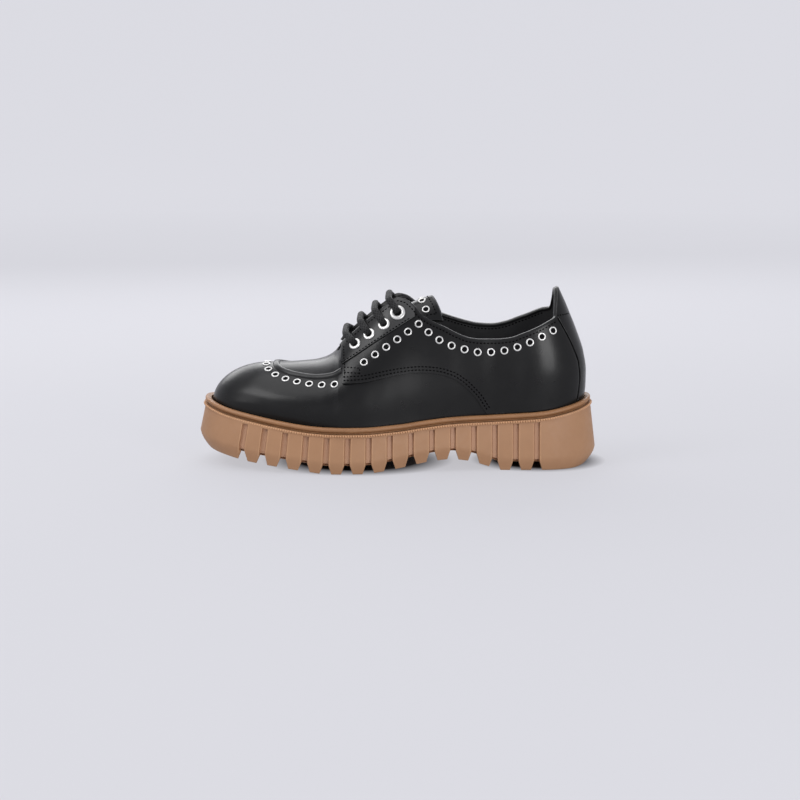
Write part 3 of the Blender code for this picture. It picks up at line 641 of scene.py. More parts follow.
def last_surface(x, z, side):
    """Point of the upper's outside at station x and height z, before the leather creases."""
    height = ridge_height(x) - foot_height(x)
    rise = min(max((z - foot_height(x)) / height, 0.0), 1.0) if height > 0 else 0.0
    y = section_middle(x, rise) + side * half_width(x, rise)
    if x > HEEL_PIVOT:
        x = HEEL_PIVOT + (x - HEEL_PIVOT) * (back_reach(z) - HEEL_PIVOT) / (UPPER_END - HEEL_PIVOT)
    return Vector((x, y, z))


def station(x, z):
    """Station of the upper that is seen at x from the side, at height z."""
    if x <= HEEL_PIVOT:
        return x
    return HEEL_PIVOT + (x - HEEL_PIVOT) * (UPPER_END - HEEL_PIVOT) / (back_reach(z) - HEEL_PIVOT)


def outward(x, z, side):
    """Direction straight out of the upper's surface."""
    along = last_surface(x + NUDGE, z, side) - last_surface(x - NUDGE, z, side)
    up = last_surface(x, z + NUDGE, side) - last_surface(x, z - NUDGE, side)
    normal = along.cross(up).normalized()
    return normal if normal.y * side > 0 else -normal


def crease_depth(x, z, side):
    """How far soft troughs and ridges take the leather out of its smooth form."""
    depth = 0.0
    for crease in CREASES:
        if crease.side == side:
            turn = math.radians(crease.turn)
            along = (x - crease.x) * math.cos(turn) + (z - crease.z) * math.sin(turn)
            across = (z - crease.z) * math.cos(turn) - (x - crease.x) * math.sin(turn)
            depth += crease.depth * math.exp(-(along / crease.length) ** 2 - (across / crease.width) ** 2)
    return depth


def surface(x, z, side):
    """Point of the upper's outside at station x and height z, with its creases."""
    depth = crease_depth(x, z, side)
    point = last_surface(x, z, side)
    return point + outward(x, z, side) * depth if abs(depth) > FLAT else point


def upper_column(x, side):
    """Points of one side of a section, from the sole to the ridge or to the open edge."""
    low, ridge = foot_height(x), ridge_height(x)
    top = ridge if x <= VAMP_END else edge_height[side](x)
    turn = math.asin(min(1.0, (top - low) / (ridge - low))) if ridge > low else 0.0
    rises = [math.sin(turn * j / UPPER_ROWS) for j in range(UPPER_ROWS + 1)]
    return [surface(x, low + (ridge - low) * rise, side) for rise in rises]


def leather_panel(name, grids, node, finishes, thickness, inner, edge):
    """Leather with a thickness, its inner face at a distance out of the grids, and rounded edges."""
    piece = shoe_piece(grid_mesh(name, grids), finishes, [node])
    wall = piece.modifiers.new("wall", "SOLIDIFY")
    wall.thickness = thickness * MM
    wall.offset = 1 + 2 * inner / thickness
    wall.use_even_offset = True
    wall.use_quality_normals = True
    wall.material_offset = len(finishes) - 1
    rounded = piece.modifiers.new("rounded edge", "BEVEL")
    rounded.width = edge * MM
    rounded.segments = ROUND_STEPS
    rounded.limit_method = "ANGLE"
    rounded.angle_limit = ROUND_ANGLE


leather = leather_finish("black box calf", CALF)
turns = [VAMP_END] + [row.x for row in EDGE if row.x < EDGE_TURNS_END]
upper_stations = turns[:]
for x in spaced(-UPPER_END, UPPER_END, UPPER_STATIONS):
    if not VAMP_END < x < EDGE[0].x and min(abs(x - turn) for turn in turns) > TURN_CLEAR:
        upper_stations.append(x)
halves = [[upper_column(x, side) for x in sorted(upper_stations)] for side in SIDES.values()]
leather_panel("upper_shell", halves, "upper", [leather, lining], WALL, -WALL, WALL_ROUND)

# Apron seam
# The edges of the plug and the vamp drawn together over a cord and sewn, which stands up as a roll.
# It starts at one facing, goes round the plug over the toe, and ends under the other facing.
APRON_MIDDLE, APRON_FULL = 2.7, 3.0
APRON = dict(front=-85.5, length=47.3, half=32.5, count=180)
SEAM_PROFILE = [(-2.5, -0.5), (-2.3, 0.0), (-2.05, 0.55), (-1.4, 1.1), (-0.5, 1.4), (0.5, 1.45), (1.4, 1.3),
                (2.0, 0.85), (2.3, 0.2), (2.4, -0.5)]
SEAM_EASE = 0.6
PLUG_LOWEST, HALVINGS = 0.3, 40


def surface_over(x, y):
    """Point of the upper's outside that is seen at x and y from above, and the way out of it."""
    side = OUTER if y < section_middle(x, 1.0) else INNER
    low, high = PLUG_LOWEST, 1.0
    for _ in range(HALVINGS):
        rise = (low + high) / 2
        if side * (y - section_middle(x, rise)) < half_width(x, rise):
            low = rise
        else:
            high = rise
    z = foot_height(x) + (ridge_height(x) - foot_height(x)) * low
    return Vector((x, y, z)), outward(x, z, side)


def apron_path(front, length, half, count):
    """Points and normals round the plug, from the outer facing over the toe to the inner facing."""
    found = []
    for i in range(count + 1):
        t = 2 * i / count - 1
        share = math.copysign(abs(t) ** SEAM_EASE, t)
        found.append(surface_over(front + length * abs(share) ** APRON_FULL, APRON_MIDDLE + half * share))
    return zip(*found)


def sweep(points, normals, profile):
    """Grid of a section carried along a path, each of its points at a distance across and out."""
    grid = []
    for i, (point, out) in enumerate(zip(points, normals)):
        along = (points[min(i + 1, len(points) - 1)] - points[max(i - 1, 0)]).normalized()
        across = along.cross(out).normalized()
        grid.append([point + across * a + out * b for a, b in profile])
    return grid


apron_roll = grid_mesh("apron_roll", [sweep(*apron_path(**APRON), SEAM_PROFILE)])
shoe_piece(apron_roll, [leather], ["apron_seam"])

# Quarters
# Two side panels of the same calf, lapped over the vamp and sewn with two rows along the curved lower edge.
# A row of stitches follows the facing, the top corner and the collar, and a sewn box holds the front corner.
SKIN_CLEAR, PANEL, PANEL_ROUND = 0.4, 1.4, 0.6
QUARTER_FRONT, STRIP_GAP, PANEL_FOOT, PANEL_EDGE = -37.6, 1.0, 0.4, 0.8
QUARTER_COLUMNS, QUARTER_ROWS = 190, 54
SETTLE, EDGE_SEEN_END, SLOPE_REACH = 30, 120.0, 0.4
EDGE_SPAN, STRIP_SPAN, STAY_SPAN, LAP_SPAN = (-40.0, 126.0), (35.0, 125.0), (-40.0, 30.0), (-40.0, 140.0)
Spot = namedtuple("Spot", "x z")
LAP = [
    Spot(-38, 60.6), Spot(-22, 62.4), Spot(-12, 64.6), Spot(2, 67.2), Spot(15, 68.2), Spot(27, 67.4),
    Spot(37, 64.6), Spot(44, 60.4), Spot(50, 55.0), Spot(55, 49.4), Spot(59, 43.0), Spot(63, 38.0),
    Spot(140, 20.0),
]
Strip = namedtuple("Strip", "z x")
STRIP = [
    Strip(40, 123.6), Strip(49, 125.2), Strip(62, 126.4), Strip(72, 125.4), Strip(83, 121.5),
    Strip(95, 115.6), Strip(106, 109.2), Strip(124, 98.0),
]
STAY = [Spot(-38, 72.0), Spot(14, 106.0), Spot(22, 110.0)]
STAY_END, STAY_GAP, EYESTAY = 12.0, 0.1, 0.8
ON_QUARTER, ON_STAY = SKIN_CLEAR + PANEL, SKIN_CLEAR + PANEL + STAY_GAP + EYESTAY
STITCH, STITCH_PITCH = (1.75, 0.95, 0.66, 0.2), 2.5
LAP_ROWS, LAP_ROW_END, LAP_ROW_STEP = (1.9, 4.1), 60.0, 0.8
EDGE_ROW, EDGE_ROW_START, EDGE_ROW_END, EDGE_ROW_STEP = 2.5, 0.6, 107.5, 0.7
FRONT_ROW, FRONT_ROW_TOP = QUARTER_FRONT + 2.0, 4.5
CORNER_BOX = (-35.4, -25.6, 67.8, 71.0)
THREAD, THREAD_PALE = (0.0006, 0.0006, 0.0007, 1), (0.002, 0.002, 0.0021, 1)


def tabled(function, low, high, step=0.25):
    """The same function read from a fine table, for places that ask for it often."""
    count = int((high - low) / step) + 1
    held = [function(low + step * i) for i in range(count + 1)]

    def value(at):
        t = min(max((at - low) / step, 0.0), count - 0.001)
        i = int(t)
        return held[i] + (held[i + 1] - held[i]) * (t - i)

    return value


def settled_edge(side):
    """Height of the upper's edge that is seen at x from the side."""
    def height(x):
        z = edge_height[side](x)
        for _ in range(SETTLE):
            z = (z + edge_height[side](min(station(x, z), EDGE_SEEN_END))) / 2
        return z
    return tabled(height, *EDGE_SPAN)


lap_line, = columns(LAP)
strip_line, = columns(STRIP)
stay_line, = columns(STAY)
edge_seen = {side: settled_edge(side) for side in SIDES.values()}
strip_seen = tabled(strip_line, *STRIP_SPAN)
stay_height = tabled(stay_line, *STAY_SPAN)
lap_height = tabled(lambda x: max(lap_line(x), sole_top(x) + WELT_RISE + PANEL_FOOT), *LAP_SPAN)


def grid_of(point, across, up):
    """Grid of the points that a function gives for shares along a panel and up it."""
    return [[point(i / across, j / up) for j in range(up + 1)] for i in range(across + 1)]


def panel_grid(rear, low, side, across, up):
    """Points of a panel from a low line up to the open edge, and from the quarter's front to a rear line."""
    def point(along, rise):
        z = low(QUARTER_FRONT)
        for _ in range(SETTLE):
            x = QUARTER_FRONT + (rear(z) - QUARTER_FRONT) * along
            high = edge_seen[side](x) - PANEL_EDGE
            z = (z + low(x) + (high - low(x)) * rise) / 2
        return surface(station(x, z), z, side)
    return grid_of(point, across, up)


def beside(height, x, distance):
    """Place at a distance square to a line of heights, above it or below."""
    slope = (height(x + SLOPE_REACH) - height(x - SLOPE_REACH)) / (2 * SLOPE_REACH)
    length = math.hypot(1.0, slope)
    return x - distance * slope / length, height(x) + distance / length


def on_panel(spots, side, out=None):
    """Points and normals on the panels at places seen from the side."""
    points, normals = [], []
    for x, z in spots:
        at = station(x, z)
        normal = outward(at, z, side)
        lift = out
        if lift is None:
            lift = ON_STAY if x < STAY_END and z > stay_height(x) else ON_QUARTER
        points.append(surface(at, z, side) + normal * lift)
        normals.append(normal)
    return points, normals


def between(low, high, step=1.0):
    """Even values from low to high, about a step apart."""
    count = max(1, round(abs(high - low) / step))
    return [low + (high - low) * i / count for i in range(count + 1)]


def quarter_rows(side):
    """Lines of stitches on a quarter, as places seen from the side."""
    edge = edge_seen[side]
    left, right, low, high = CORNER_BOX
    along_lap = between(FRONT_ROW, LAP_ROW_END, LAP_ROW_STEP)
    along_edge = between(FRONT_ROW + EDGE_ROW_START, EDGE_ROW_END, EDGE_ROW_STEP)
    up_front = between(lap_height(FRONT_ROW) + LAP_ROWS[1], edge(FRONT_ROW) - FRONT_ROW_TOP)
    rows = [[beside(lap_height, x, off) for x in along_lap] for off in LAP_ROWS]
    rows.append([beside(edge, x, -EDGE_ROW) for x in along_edge])
    rows.append([(FRONT_ROW, z) for z in up_front])
    rows += [[(x, z) for x in between(left, right)] for z in (low, high)]
    return rows + [[(right, z) for z in between(low, high)]]


thread, shader = new_finish("black waxed thread", specular_ior_level=0.03)
fibre = shader.ranged(shader.speckle(2600.0), 0.35, 0.65)
shader.put(base_color=shader.blend(fibre, THREAD, THREAD_PALE),
           roughness=shader.ranged(fibre, 0.0, 1.0, 0.6, 0.8))
shader.raise_grain(fibre, strength=0.35, distance=0.15)


def stitches(name, lines):
    """Joined stitches along lines of points and normals."""
    frames = [spot for line in lines for spot in path_frames(*line, STITCH_PITCH)]
    shoe_piece(repeat_mesh(name, pill(*STITCH), frames), [thread])


for name, side in SIDES.items():
    grid = panel_grid(lambda z: strip_seen(z) - STRIP_GAP, lap_height, side, QUARTER_COLUMNS, QUARTER_ROWS)
    leather_panel("quarter_panel_" + name, [grid], "quarter_" + name, [leather], PANEL,
                  SKIN_CLEAR, PANEL_ROUND)
    stitches("quarter_stitching_" + name, [on_panel(row, side) for row in quarter_rows(side)])

# Eyestays
# A thin facing of calf laid over the front of each quarter to carry the lace eyelets.
# Its lower edge runs straight up to the top corner, with one row of stitches just inside it.
STAY_COLUMNS, STAY_ROWS, STAY_ROUND = 70, 30, 0.4
STAY_ROW, STAY_ROW_FRONT, STAY_ROW_REAR = 0.75, QUARTER_FRONT + 1.0, STAY_END - 2.0
Fade = namedtuple("Fade", "front rear colour")
# A painted highlight on the facings: lighter towards their rear, where the light falls on them.
STAY_PAINTED_HIGHLIGHT = Fade(-30.0, 12.0, (0.05, 0.05, 0.0495, 1))

facing_calf = leather_finish("black facing calf", CALF, STAY_PAINTED_HIGHLIGHT)
stay_row = [beside(stay_height, x, STAY_ROW) for x in between(STAY_ROW_FRONT, STAY_ROW_REAR)]
for name, side in SIDES.items():
    grid = panel_grid(lambda z: STAY_END, stay_height, side, STAY_COLUMNS, STAY_ROWS)
    leather_panel("eyestay_panel_" + name, [grid], "eyestay_" + name, [facing_calf], EYESTAY,
                  ON_QUARTER + STAY_GAP, STAY_ROUND)
    stitches("eyestay_stitching_" + name, [on_panel(stay_row, side)])

# Back strip and heel tab
# A strip of calf that covers the back seam and runs up into a pointed tab to pull the shoe on by.
# It is sewn across the foot of the tab. The leather is folded over the upper's top edge, with a row of
# stitches in the lining under it.
STRIP_COLUMNS, STRIP_ROWS = 26, 80
TAB_FOOT, TAB_ROW, TAB_ROW_STEP = 105.5, (1.5, 9.0), 0.75
LINING_BAND, LINING_DROP = (14.0, 104.0), 2.8
FOLD_HALF, FOLD_RISE, FOLD_LEG, FOLD_SHIFT = 2.05, 0.7, 1.5, -0.1
FOLD_START, FOLD_REACH, FOLD_STATIONS, FOLD_STEPS = -39.0, 0.3, 260, 12


def strip_grid(side):
    """Points of one half of the strip, from its side seam to the middle of the back."""
    def point(along, rise):
        z = sole_top(UPPER_END) + WELT_RISE + PANEL_FOOT
        for _ in range(SETTLE):
            start = station(strip_seen(z), z)
            x = start + (UPPER_END - start) * math.sin(math.pi / 2 * along)
            low, high = sole_top(x) + WELT_RISE + PANEL_FOOT, edge_height[side](x) - PANEL_EDGE
            z = (z + low + (high - low) * rise) / 2
        return surface(x, z, side)
    return grid_of(point, STRIP_COLUMNS, STRIP_ROWS)


leather_panel("back_strip_panel", [strip_grid(OUTER), strip_grid(INNER)], "back_strip", [leather], PANEL,
              SKIN_CLEAR, PANEL_ROUND)
tab_row = [(back_reach(TAB_FOOT) - off, TAB_FOOT) for off in between(*TAB_ROW, TAB_ROW_STEP)]
for name, side in SIDES.items():
    stitches("heel_tab_stitching_" + name, [on_panel(tab_row, side)])


def edge_point(x, side):
    """Point of the upper's open edge at station x."""
    return last_surface(x, edge_height[side](x), side)


def fold_up(x, side):
    """Direction that stands up from the top edge, square to it and to the upper's surface."""
    ahead, behind = min(x + FOLD_REACH, UPPER_END), max(x - FOLD_REACH, FOLD_START)
    along = edge_point(ahead, side) - edge_point(behind, side)
    up = along.cross(outward(x, edge_height[side](x), side))
    return (up if up.z > 0 else -up).normalized()


fold_points, fold_ups = [], []
for side in SIDES.values():
    stations = spaced(FOLD_START, UPPER_END - FOLD_REACH, FOLD_STATIONS, False, True)
    for x in stations if side == OUTER else stations[::-1]:
        fold_points.append(edge_point(x, side) + outward(x, edge_height[side](x), side) * FOLD_SHIFT)
        fold_ups.append(fold_up(x, side))
fold = [(-FOLD_HALF * c, FOLD_RISE * s) for c, s in arc(FOLD_STEPS, 0, 180)]
fold = [(-FOLD_HALF, -FOLD_LEG)] + fold + [(FOLD_HALF, -FOLD_LEG)]
shoe_piece(grid_mesh("top_edge_fold", [sweep(fold_points, fold_ups, fold)]), [leather])

for name, side in SIDES.items():
    band = [(x, edge_seen[side](x) - LINING_DROP) for x in between(*LINING_BAND)]
    points, normals = on_panel(band, side, -WALL)
    stitches("lining_stitching_" + name, [(points, [-normal for normal in normals])])

# Tongue
# A padded leather tongue that goes on from the plug under the facings, with a thick turned edge.
# Its top stands up behind the facings, sewn round its edge, and carries small eyelets near its sides.
TONGUE, TONGUE_ROUND = 3.2, 1.2
Tongue = namedtuple("Tongue", "x ridge half drop")
TONGUE_FORM = [
    Tongue(-54, 69.6, 17.0, 5.6), Tongue(-44, 74.4, 17.5, 6.2), Tongue(-36, 81.0, 17.5, 6.5),
    Tongue(-20, 95.0, 17.5, 8.0), Tongue(-5, 106.0, 17.0, 10.0), Tongue(10, 113.0, 17.0, 13.5),
    Tongue(24, 118.0, 16.5, 15.6), Tongue(32, 119.6, 16.5, 17.4),
]
TONGUE_FRONT, TONGUE_TOP, TONGUE_EARS, TONGUE_CUT = -54.0, 24.0, 8.0, 1.5
TONGUE_COLUMNS, TONGUE_ROWS = 80, 60
TONGUE_REACH, TONGUE_TURN = 0.3, 0.02
TONGUE_ROW, TONGUE_ROW_FRONT, TONGUE_ROW_SIDE, TONGUE_ROW_TOP, TONGUE_ROW_STEP = 3.2, -10.0, 0.86, 0.82, 0.05

tongue_ridge, tongue_half, tongue_drop = columns(TONGUE_FORM)


def tongue_point(x, v):
    """Point on the tongue's top, v going from -1 at its outer edge to 1 at its inner edge."""
    return Vector((x, section_middle(x, 1.0) + tongue_half(x) * v, tongue_ridge(x) - tongue_drop(x) * v * v))


def tongue_end(v):
    """Where the tongue's top edge lies: cut square to its slope, so its sides reach further back."""
    return TONGUE_TOP + TONGUE_EARS * abs(v) ** TONGUE_CUT


def tongue_normal(x, v):
    """Direction straight out of the tongue's top."""
    along = tongue_point(x + TONGUE_REACH, v) - tongue_point(x - TONGUE_REACH, v)
    return along.cross(tongue_point(x, v + TONGUE_TURN) - tongue_point(x, v - TONGUE_TURN)).normalized()


def on_tongue(spots):
    """Points and normals at places on the tongue."""
    return [tongue_point(*spot) for spot in spots], [tongue_normal(*spot) for spot in spots]


def tongue_spot(along, rise):
    """Point at shares along the tongue and across it."""
    v = 2 * rise - 1
    return tongue_point(TONGUE_FRONT + (tongue_end(v) - TONGUE_FRONT) * along, v)


grid = grid_of(tongue_spot, TONGUE_COLUMNS, TONGUE_ROWS)
leather_panel("tongue_flap", [grid], "tongue", [leather], TONGUE, -TONGUE, TONGUE_ROUND)
side_row = between(TONGUE_ROW_FRONT, tongue_end(TONGUE_ROW_SIDE) - TONGUE_ROW)
top_row = between(-TONGUE_ROW_TOP, TONGUE_ROW_TOP, TONGUE_ROW_STEP)
tongue_row = [(x, -TONGUE_ROW_SIDE) for x in side_row]
tongue_row += [(tongue_end(v) - TONGUE_ROW, v) for v in top_row]
tongue_row += [(x, TONGUE_ROW_SIDE) for x in side_row[::-1]]
stitches("tongue_stitching", [on_tongue(tongue_row)])

# Small eyelets
# Nickel-plated eyelets clenched through the leather for decoration, a rolled flange round an open barrel.
# They go round the plug, up beside the facings and along under the collar, and a few sit on the tongue.
SMALL_EYELET = (2.8, 1.75, 0.6)
FLANGE_SIDES, FLANGE_STEPS, FLANGE_SHARP, FLANGE_FOOT, BARREL_FOOT = 26, 8, 60.0, -0.25, -0.3
HOLE_SHADE_SIDES, HOLE_SHADE_DISC = 16, ((1.0, 0.05, 0.22), (0.7, 0.0, 0.12), (0.0, 0.02, 0.08))
VAMP_ROW, VAMP_EYELETS = dict(front=-92.5, length=49.2, half=37.5, count=240), 16
FACING_ROW, FACING_EYELETS, FACING_STEP = ((-22.6, 74.8), (14.7, 100.1)), 6, 0.025
COLLAR_ROW = [
    Spot(21.5, 94.8), Spot(29.1, 89.8), Spot(37.0, 86.3), Spot(46.1, 83.8), Spot(58.5, 81.7),
    Spot(73.5, 82.9), Spot(89.2, 87.6), Spot(106.8, 95.8),
]
COLLAR_EYELETS = 11
JUST_SHORT = 0.99999
TONGUE_EYELETS = ((17.2, -0.28), (19.8, -0.70), (17.2, 0.28), (19.8, 0.70))
NICKEL, NICKEL_DULL, NICKEL_BRIGHT = (0.64, 0.635, 0.62, 1), (0.42, 0.41, 0.40, 1), (0.82, 0.81, 0.79, 1)
# Painted shade for the eyelet holes: near-black colours, speckled, for the discs down in the barrels.
HOLE_SHADE, HOLE_SHADE_SPECKLE = (0.0015, 0.0015, 0.0016, 1), (0.0055, 0.0055, 0.0057, 1)


def lathe(profile, segments):
    """Points and faces of a section, radius and height, turned about z."""
    points = [Vector((radius * c, radius * s, height)) for radius, height in profile
              for c, s in arc(segments)[:-1]]
    return points, ring_faces(len(profile), segments)


def eyelet_form(radius, hole, height):
    """Rolled flange of an eyelet, from the outside over the crown and down into its barrel."""
    crown, half = (radius + hole) / 2, (radius - hole) / 2
    roll = [(crown + half * c, height * s ** 0.5) for c, s in arc(FLANGE_STEPS, 0, 180)]
    return lathe([(radius, FLANGE_FOOT)] + roll + [(hole, BARREL_FOOT)], FLANGE_SIDES)


def hole_shade_form(hole):
    """Disc of painted shade down in an eyelet's barrel, standing for the dark of the open hole."""
    return lathe([(hole * share + more, height) for share, more, height in HOLE_SHADE_DISC], HOLE_SHADE_SIDES)


nickel, shader = new_finish("nickel plate", metallic=1.0)
smudge = shader.ranged(shader.speckle(420.0, 4.0, 0.6), 0.4, 0.72, 0.0, 0.6)
plate = shader.blend(smudge, NICKEL, NICKEL_DULL)
# Flange edges brighten, partly as polish from wear and partly as a painted highlight.
shader.put(base_color=shader.use(edge_wear_and_highlight, colour=plate, worn=NICKEL_BRIGHT, amount=0.5)["Colour"],
           roughness=shader.ranged(smudge, 0.0, 0.6, 0.38, 0.5))
shader.raise_grain(shader.speckle(1800.0), strength=0.05, distance=0.1)

# Painted shade: the finish of the discs that stand for the shaded holes of the eyelets.
barrel, shader = new_finish("painted hole shade", specular_ior_level=0.1, roughness=0.9)
shader.put(base_color=shader.blend(shader.ranged(shader.speckle(900.0), 0.3, 0.7), HOLE_SHADE, HOLE_SHADE_SPECKLE))


def set_eyelets(name, frames, size, nodes=()):
    """Joined eyelets at frames, with discs of painted shade down in their barrels."""
    shoe_piece(repeat_mesh(name, eyelet_form(*size), frames, FLANGE_SHARP), [nickel], nodes)
    shoe_piece(repeat_mesh(name + "_hole_shades", hole_shade_form(size[1]), frames), [barrel])


def even_frames(points, normals, count):
    """A number of frames from one end of a path to the other."""
    length = sum((b - a).length for a, b in zip(points, points[1:]))
    return path_frames(points, normals, length / (count - 1) * JUST_SHORT)[:count]


def standing_frames(points, normals):
    """A frame at each point, its z along the normal there."""
    return [Matrix.Translation(point) @ normal.to_track_quat("Z", "Y").to_matrix().to_4x4()
            for point, normal in zip(points, normals)]


set_eyelets("vamp_eyelets", even_frames(*apron_path(**VAMP_ROW), VAMP_EYELETS), SMALL_EYELET)
collar_line, = columns(COLLAR_ROW)
(x_low, z_low), (x_high, z_high) = FACING_ROW
facing = [(x_low + (x_high - x_low) * t, z_low + (z_high - z_low) * t)
          for t in between(0.0, 1.0, FACING_STEP)]
for name, side in SIDES.items():
    collar = [(x, collar_line(x) + edge_seen[side](x) - edge_seen[OUTER](x))
              for x in between(COLLAR_ROW[0].x, COLLAR_ROW[-1].x)]
    frames = even_frames(*on_panel(facing, side, ON_QUARTER), FACING_EYELETS)
    frames += even_frames(*on_panel(collar, side, ON_QUARTER), COLLAR_EYELETS)
    set_eyelets("quarter_eyelets_" + name, frames, SMALL_EYELET)
set_eyelets("tongue_eyelets", standing_frames(*on_tongue(TONGUE_EYELETS)), SMALL_EYELET)

# Lace eyelets
# Four larger nickel eyelets a side, clenched through the eyestay and the quarter.
# The top one is wider than the others.
EYELETS = [(-28.2, 85.2), (-18.5, 92.1), (-8.4, 99.2), (0.5, 106.8)]
LACE_EYELET, TOP_EYELET = (4.3, 1.9, 1.0), (5.4, 2.4, 1.1)

for name, side in SIDES.items():
    frames = standing_frames(*on_panel(EYELETS, side, ON_STAY))
    nodes = ["lace_eyelet_%s_%d" % (name, number) for number in range(1, len(EYELETS) + 1)]
    set_eyelets("lace_eyelets_" + name, frames[:-1], LACE_EYELET, nodes[:-1])
    set_eyelets("top_lace_eyelet_" + name, frames[-1:], TOP_EYELET, nodes[-1:])

# Lace
# A round woven lace of waxed black cotton, laced in straight bars: each bar comes up out of an eyelet,
# climbs over the edge of its facing and goes across to the other side. Its runs underneath don't show.
LACE, LACE_FLAT = 5.0, 0.86
PINCH, PINCH_RUN = 0.7, 7.0 * MM
BAR_LEAN, BAR_TURN, BAR_ARCH = 4.5, 0.5, 2.0
BAR_OVER = ON_STAY + LACE / 2
BAR_STOPS = [(0.0, -1.6), (0.06, BAR_OVER - 0.4), (0.5, BAR_OVER + 0.5), (1.0, BAR_OVER + 0.2)]
BAR_STEPS, LACE_SIDES = 14, 20
LACE_BLACK, LACE_GREY = (0.006, 0.006, 0.0062, 1), (0.022, 0.022, 0.0225, 1)
BRAID_STRANDS, BRAID_TURNS = 7.0, 330.0

woven_braid, shader, given = shader_group(
    "woven braid", dict(Strands="Float", Turns="Float"), dict(Height="Float", Fibre="Float"))
braid_uv = shader.node("SeparateXYZ", {0: shader.node("UVMap", uv_map="lace")[0]})
along = shader.combine("MULTIPLY", braid_uv[0], given["Turns"])
around = shader.combine("MULTIPLY", braid_uv[1], given["Strands"])
strands = []
for operation in ("ADD", "SUBTRACT"):
    phase = shader.combine("MULTIPLY", shader.combine(operation, along, around), 2 * math.pi)
    strands.append(shader.node("Math", {0: phase}, operation="SINE")[0])
crossing = shader.combine("MAXIMUM", *strands)
shader.put(height=shader.ranged(crossing, -0.6, 1.0), fibre=shader.speckle(3800.0))

lace_cord, shader = new_finish("black woven lace", specular_ior_level=0.2, sheen_weight=0.05)
braid = shader.use(woven_braid, strands=BRAID_STRANDS, turns=BRAID_TURNS)
fuzz = shader.ranged(shader.combine("MULTIPLY", braid["Height"], braid["Fibre"]), 0.05, 0.6)
shader.put(base_color=shader.blend(fuzz, LACE_BLACK, LACE_GREY),
           roughness=shader.ranged(braid["Height"], 0.0, 1.0, 0.85, 0.62))
shader.raise_grain(braid["Height"], strength=0.55, distance=0.45)


def eased_path(knots, steps):
    """Points along a smooth curve through the knots."""
    ends = [knots[0] * 2 - knots[1]] + knots + [knots[-1] * 2 - knots[-2]]
    path = []
    for a, b, c, d in zip(ends, ends[1:], ends[2:], ends[3:]):
        for i in range(steps):
            t = i / steps
            path.append((b * 2 + (c - a) * t + (a * 2 - b * 5 + c * 4 - d) * t * t
                         + (b * 3 - a - c * 3 + d) * t ** 3) / 2)
    path.append(knots[-1])
    return path


def bar_knots(x, z, side):
    """Places and normals of a bar from down in its eyelet to over the edge of the facing."""
    edge_x = x - BAR_LEAN
    edge_z = edge_height[side](edge_x) - BAR_TURN
    points, normals = [], []
    for share, out in BAR_STOPS:
        point, normal = on_panel([(x + (edge_x - x) * share, z + (edge_z - z) * share)], side, out)
        points += point
        normals += normal
    return points, normals


lace_section = [(c * LACE / 2, s * LACE / 2 * LACE_FLAT) for c, s in arc(LACE_SIDES)]
for number, (x, z) in enumerate(EYELETS, 1):
    near, near_out = bar_knots(x, z, OUTER)
    far, far_out = bar_knots(x, z, INNER)
    crown = (near[-1] + far[-1]) / 2 + Vector((0.0, 0.0, BAR_ARCH))
    up = (near_out[-1] + far_out[-1]).normalized()
    path = eased_path(near + [crown] + far[::-1], BAR_STEPS)
    outs = eased_path(near_out + [up] + far_out[::-1], BAR_STEPS)
    walked = [0.0]
    for a, b in zip(path, path[1:]):
        walked.append(walked[-1] + (b - a).length * MM)
    corners = []
    for point, line, way in zip(path, sweep(path, outs, lace_section), walked):
        girth = PINCH + (1 - PINCH) * min(1.0, min(way, walked[-1] - way) / PINCH_RUN)
        corners += [point.lerp(corner, girth) * MM for corner in line]
    mesh = bpy.data.meshes.new("lace_run_%d" % number)
    across = len(lace_section)
    mesh.from_pydata(corners, [], ring_faces(len(path), across, False))
    uv = mesh.uv_layers.new(name="lace")
    for loop in mesh.loops:
        row, corner = divmod(loop.vertex_index, across)
        uv.data[loop.index].uv = (walked[row], corner / LACE_SIDES)
    mesh.shade_smooth()
    shoe_piece(mesh, [lace_cord], ["lace_bar_%d" % number])

# Floor, light and camera
# A pale sweep like a photographer's paper, soft boxes over and beside the shoe, and a camera at the height
# of a table-top picture, looking square at the outer side and a little down.
SWEEP_SIDES, SWEEP_STEPS = 96, 12
SWEEP_MIDDLE, SWEEP_NEAR, SWEEP_FLAT, SWEEP_ROUND, SWEEP_WALL = 0.5, 600.0, 2200.0, 900.0, 1500.0
# The paper glows: painted light, rising from GLOW_NEAR to GLOW_FAR with distance so that the sweep reads
# evenly bright.
PAPER, PAPER_DARK, PAPER_GLOW = (0.13, 0.13, 0.138, 1), (0.127, 0.127, 0.136, 1), (0.70, 0.70, 0.745, 1)
GLOW_NEAR, GLOW_FAR, GLOW_START, GLOW_END = 0.71, 0.885, 0.2, 2.4
Shade = namedtuple("Shade", "x y half_x half_y")
# Painted shadows under the tread: the paper's glow falls to nothing under the ball and the heel.
PAINTED_TREAD_SHADOWS = [Shade(-0.028, 0.0, 0.062, 0.050), Shade(0.100, 0.0, 0.044, 0.038)]
Softbox = namedtuple("Softbox", "name place aim width height power")
SOFTBOXES = [
    Softbox("overhead", (-0.15, 0.15, 1.25), (0.0, 0.0, 0.05), 1.3, 0.8, 7.0),
    Softbox("top left", (-0.98, -0.50, 1.25), (0.0, 0.0, 0.06), 0.7, 0.6, 7.8),
    Softbox("top back", (-0.15, 0.95, 0.62), (0.0, 0.0, 0.05), 1.5, 0.5, 7.5),
    Softbox("right", (0.72, -1.15, 0.24), (0.10, 0.0, 0.07), 0.42, 1.0, 10.5),
    Softbox("left", (-1.15, -0.60, 0.60), (-0.09, 0.0, 0.06), 0.4, 0.9, 2.2),
]
ROOM, ROOM_STRENGTH = (0.86, 0.87, 0.95, 1), 0.62
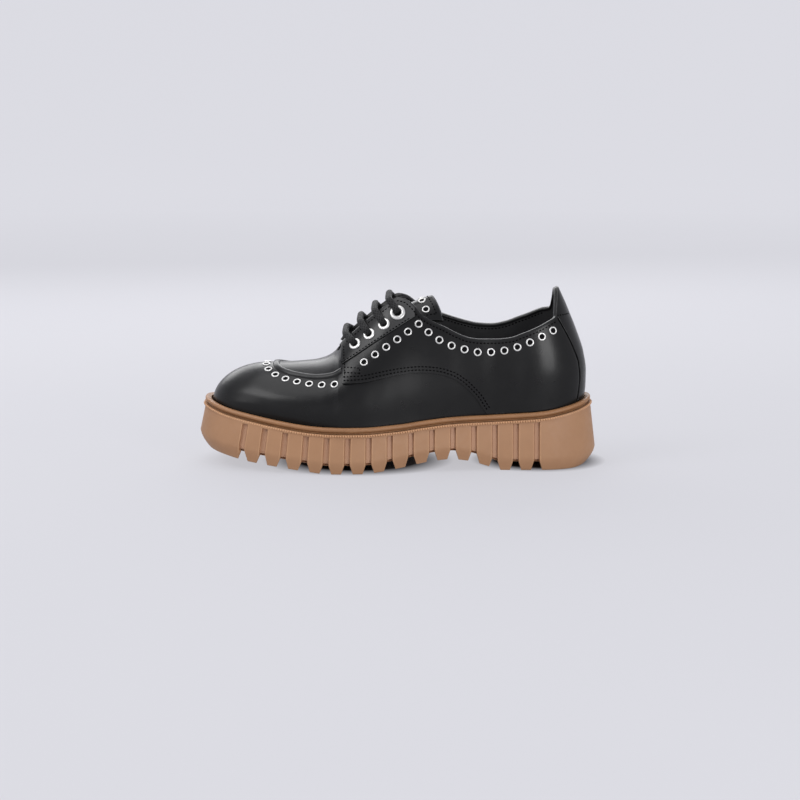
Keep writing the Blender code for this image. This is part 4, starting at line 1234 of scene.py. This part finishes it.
CAMERA, CAMERA_AIM = (0.0018, -1.300, 0.283), (0.0018, 0.0, 0.0431)
CAMERA_LENS, CAMERA_SENSOR, CAMERA_REACH = 83.98, 36.0, 50.0

paper, shader = new_finish("pale paper", specular_ior_level=0.1, roughness=0.9, emission_color=PAPER_GLOW)
cloudy = shader.ranged(shader.speckle(3.0), 0.35, 0.65)
space = shader.node("TexCoord")["Object"]
away = shader.node("VectorMath", {0: space}, operation="LENGTH")[1]
glow = shader.ranged(away, GLOW_START, GLOW_END, GLOW_NEAR, GLOW_FAR)
# Painted shadows: the glow fades out inside each ellipse under the tread.
for shade in PAINTED_TREAD_SHADOWS:
    scale = (1 / shade.half_x, 1 / shade.half_y, 0.0)
    shift = (-shade.x / shade.half_x, -shade.y / shade.half_y, 0.0)
    scaled = shader.node("VectorMath", {0: space, 1: scale, 2: shift}, operation="MULTIPLY_ADD")[0]
    reach = shader.node("VectorMath", {0: scaled}, operation="LENGTH")[1]
    glow = shader.combine("MULTIPLY", glow, shader.ranged(reach, 0.7, 1.1))
shader.put(base_color=shader.blend(cloudy, PAPER, PAPER_DARK), emission_strength=glow)
profile = [(SWEEP_MIDDLE, 0.0), (SWEEP_NEAR, 0.0), (SWEEP_FLAT, 0.0)]
profile += [(SWEEP_FLAT + SWEEP_ROUND * s, SWEEP_ROUND * (1 - c)) for c, s in arc(SWEEP_STEPS, 0, 90)[1:]]
profile.append((SWEEP_FLAT + SWEEP_ROUND, SWEEP_WALL))
floor = in_scene("paper_sweep", repeat_mesh("paper_sweep", lathe(profile, SWEEP_SIDES), [Matrix.Identity(4)]))
floor.data.materials.append(paper)


def aimed(name, data, place, aim):
    """Lamp or lens at a place, turned to face another."""
    made = in_scene(name, data)
    made.location = place
    made.rotation_euler = (Vector(aim) - Vector(place)).to_track_quat("-Z", "Y").to_euler()
    return made


for box in SOFTBOXES:
    lamp = bpy.data.lights.new(box.name, "AREA")
    lamp.shape = "RECTANGLE"
    lamp.size, lamp.size_y, lamp.energy = box.width, box.height, box.power
    aimed(box.name, lamp, box.place, box.aim)

scene = bpy.context.scene
scene.world = bpy.data.worlds.new("pale room")
scene.world.use_nodes = True
backdrop = scene.world.node_tree.nodes["Background"].inputs
backdrop["Color"].default_value = ROOM
backdrop["Strength"].default_value = ROOM_STRENGTH
scene.view_settings.view_transform = "Standard"

lens = bpy.data.cameras.new("camera")
lens.lens, lens.sensor_width, lens.clip_end = CAMERA_LENS, CAMERA_SENSOR, CAMERA_REACH
scene.camera = aimed("camera", lens, CAMERA, CAMERA_AIM)
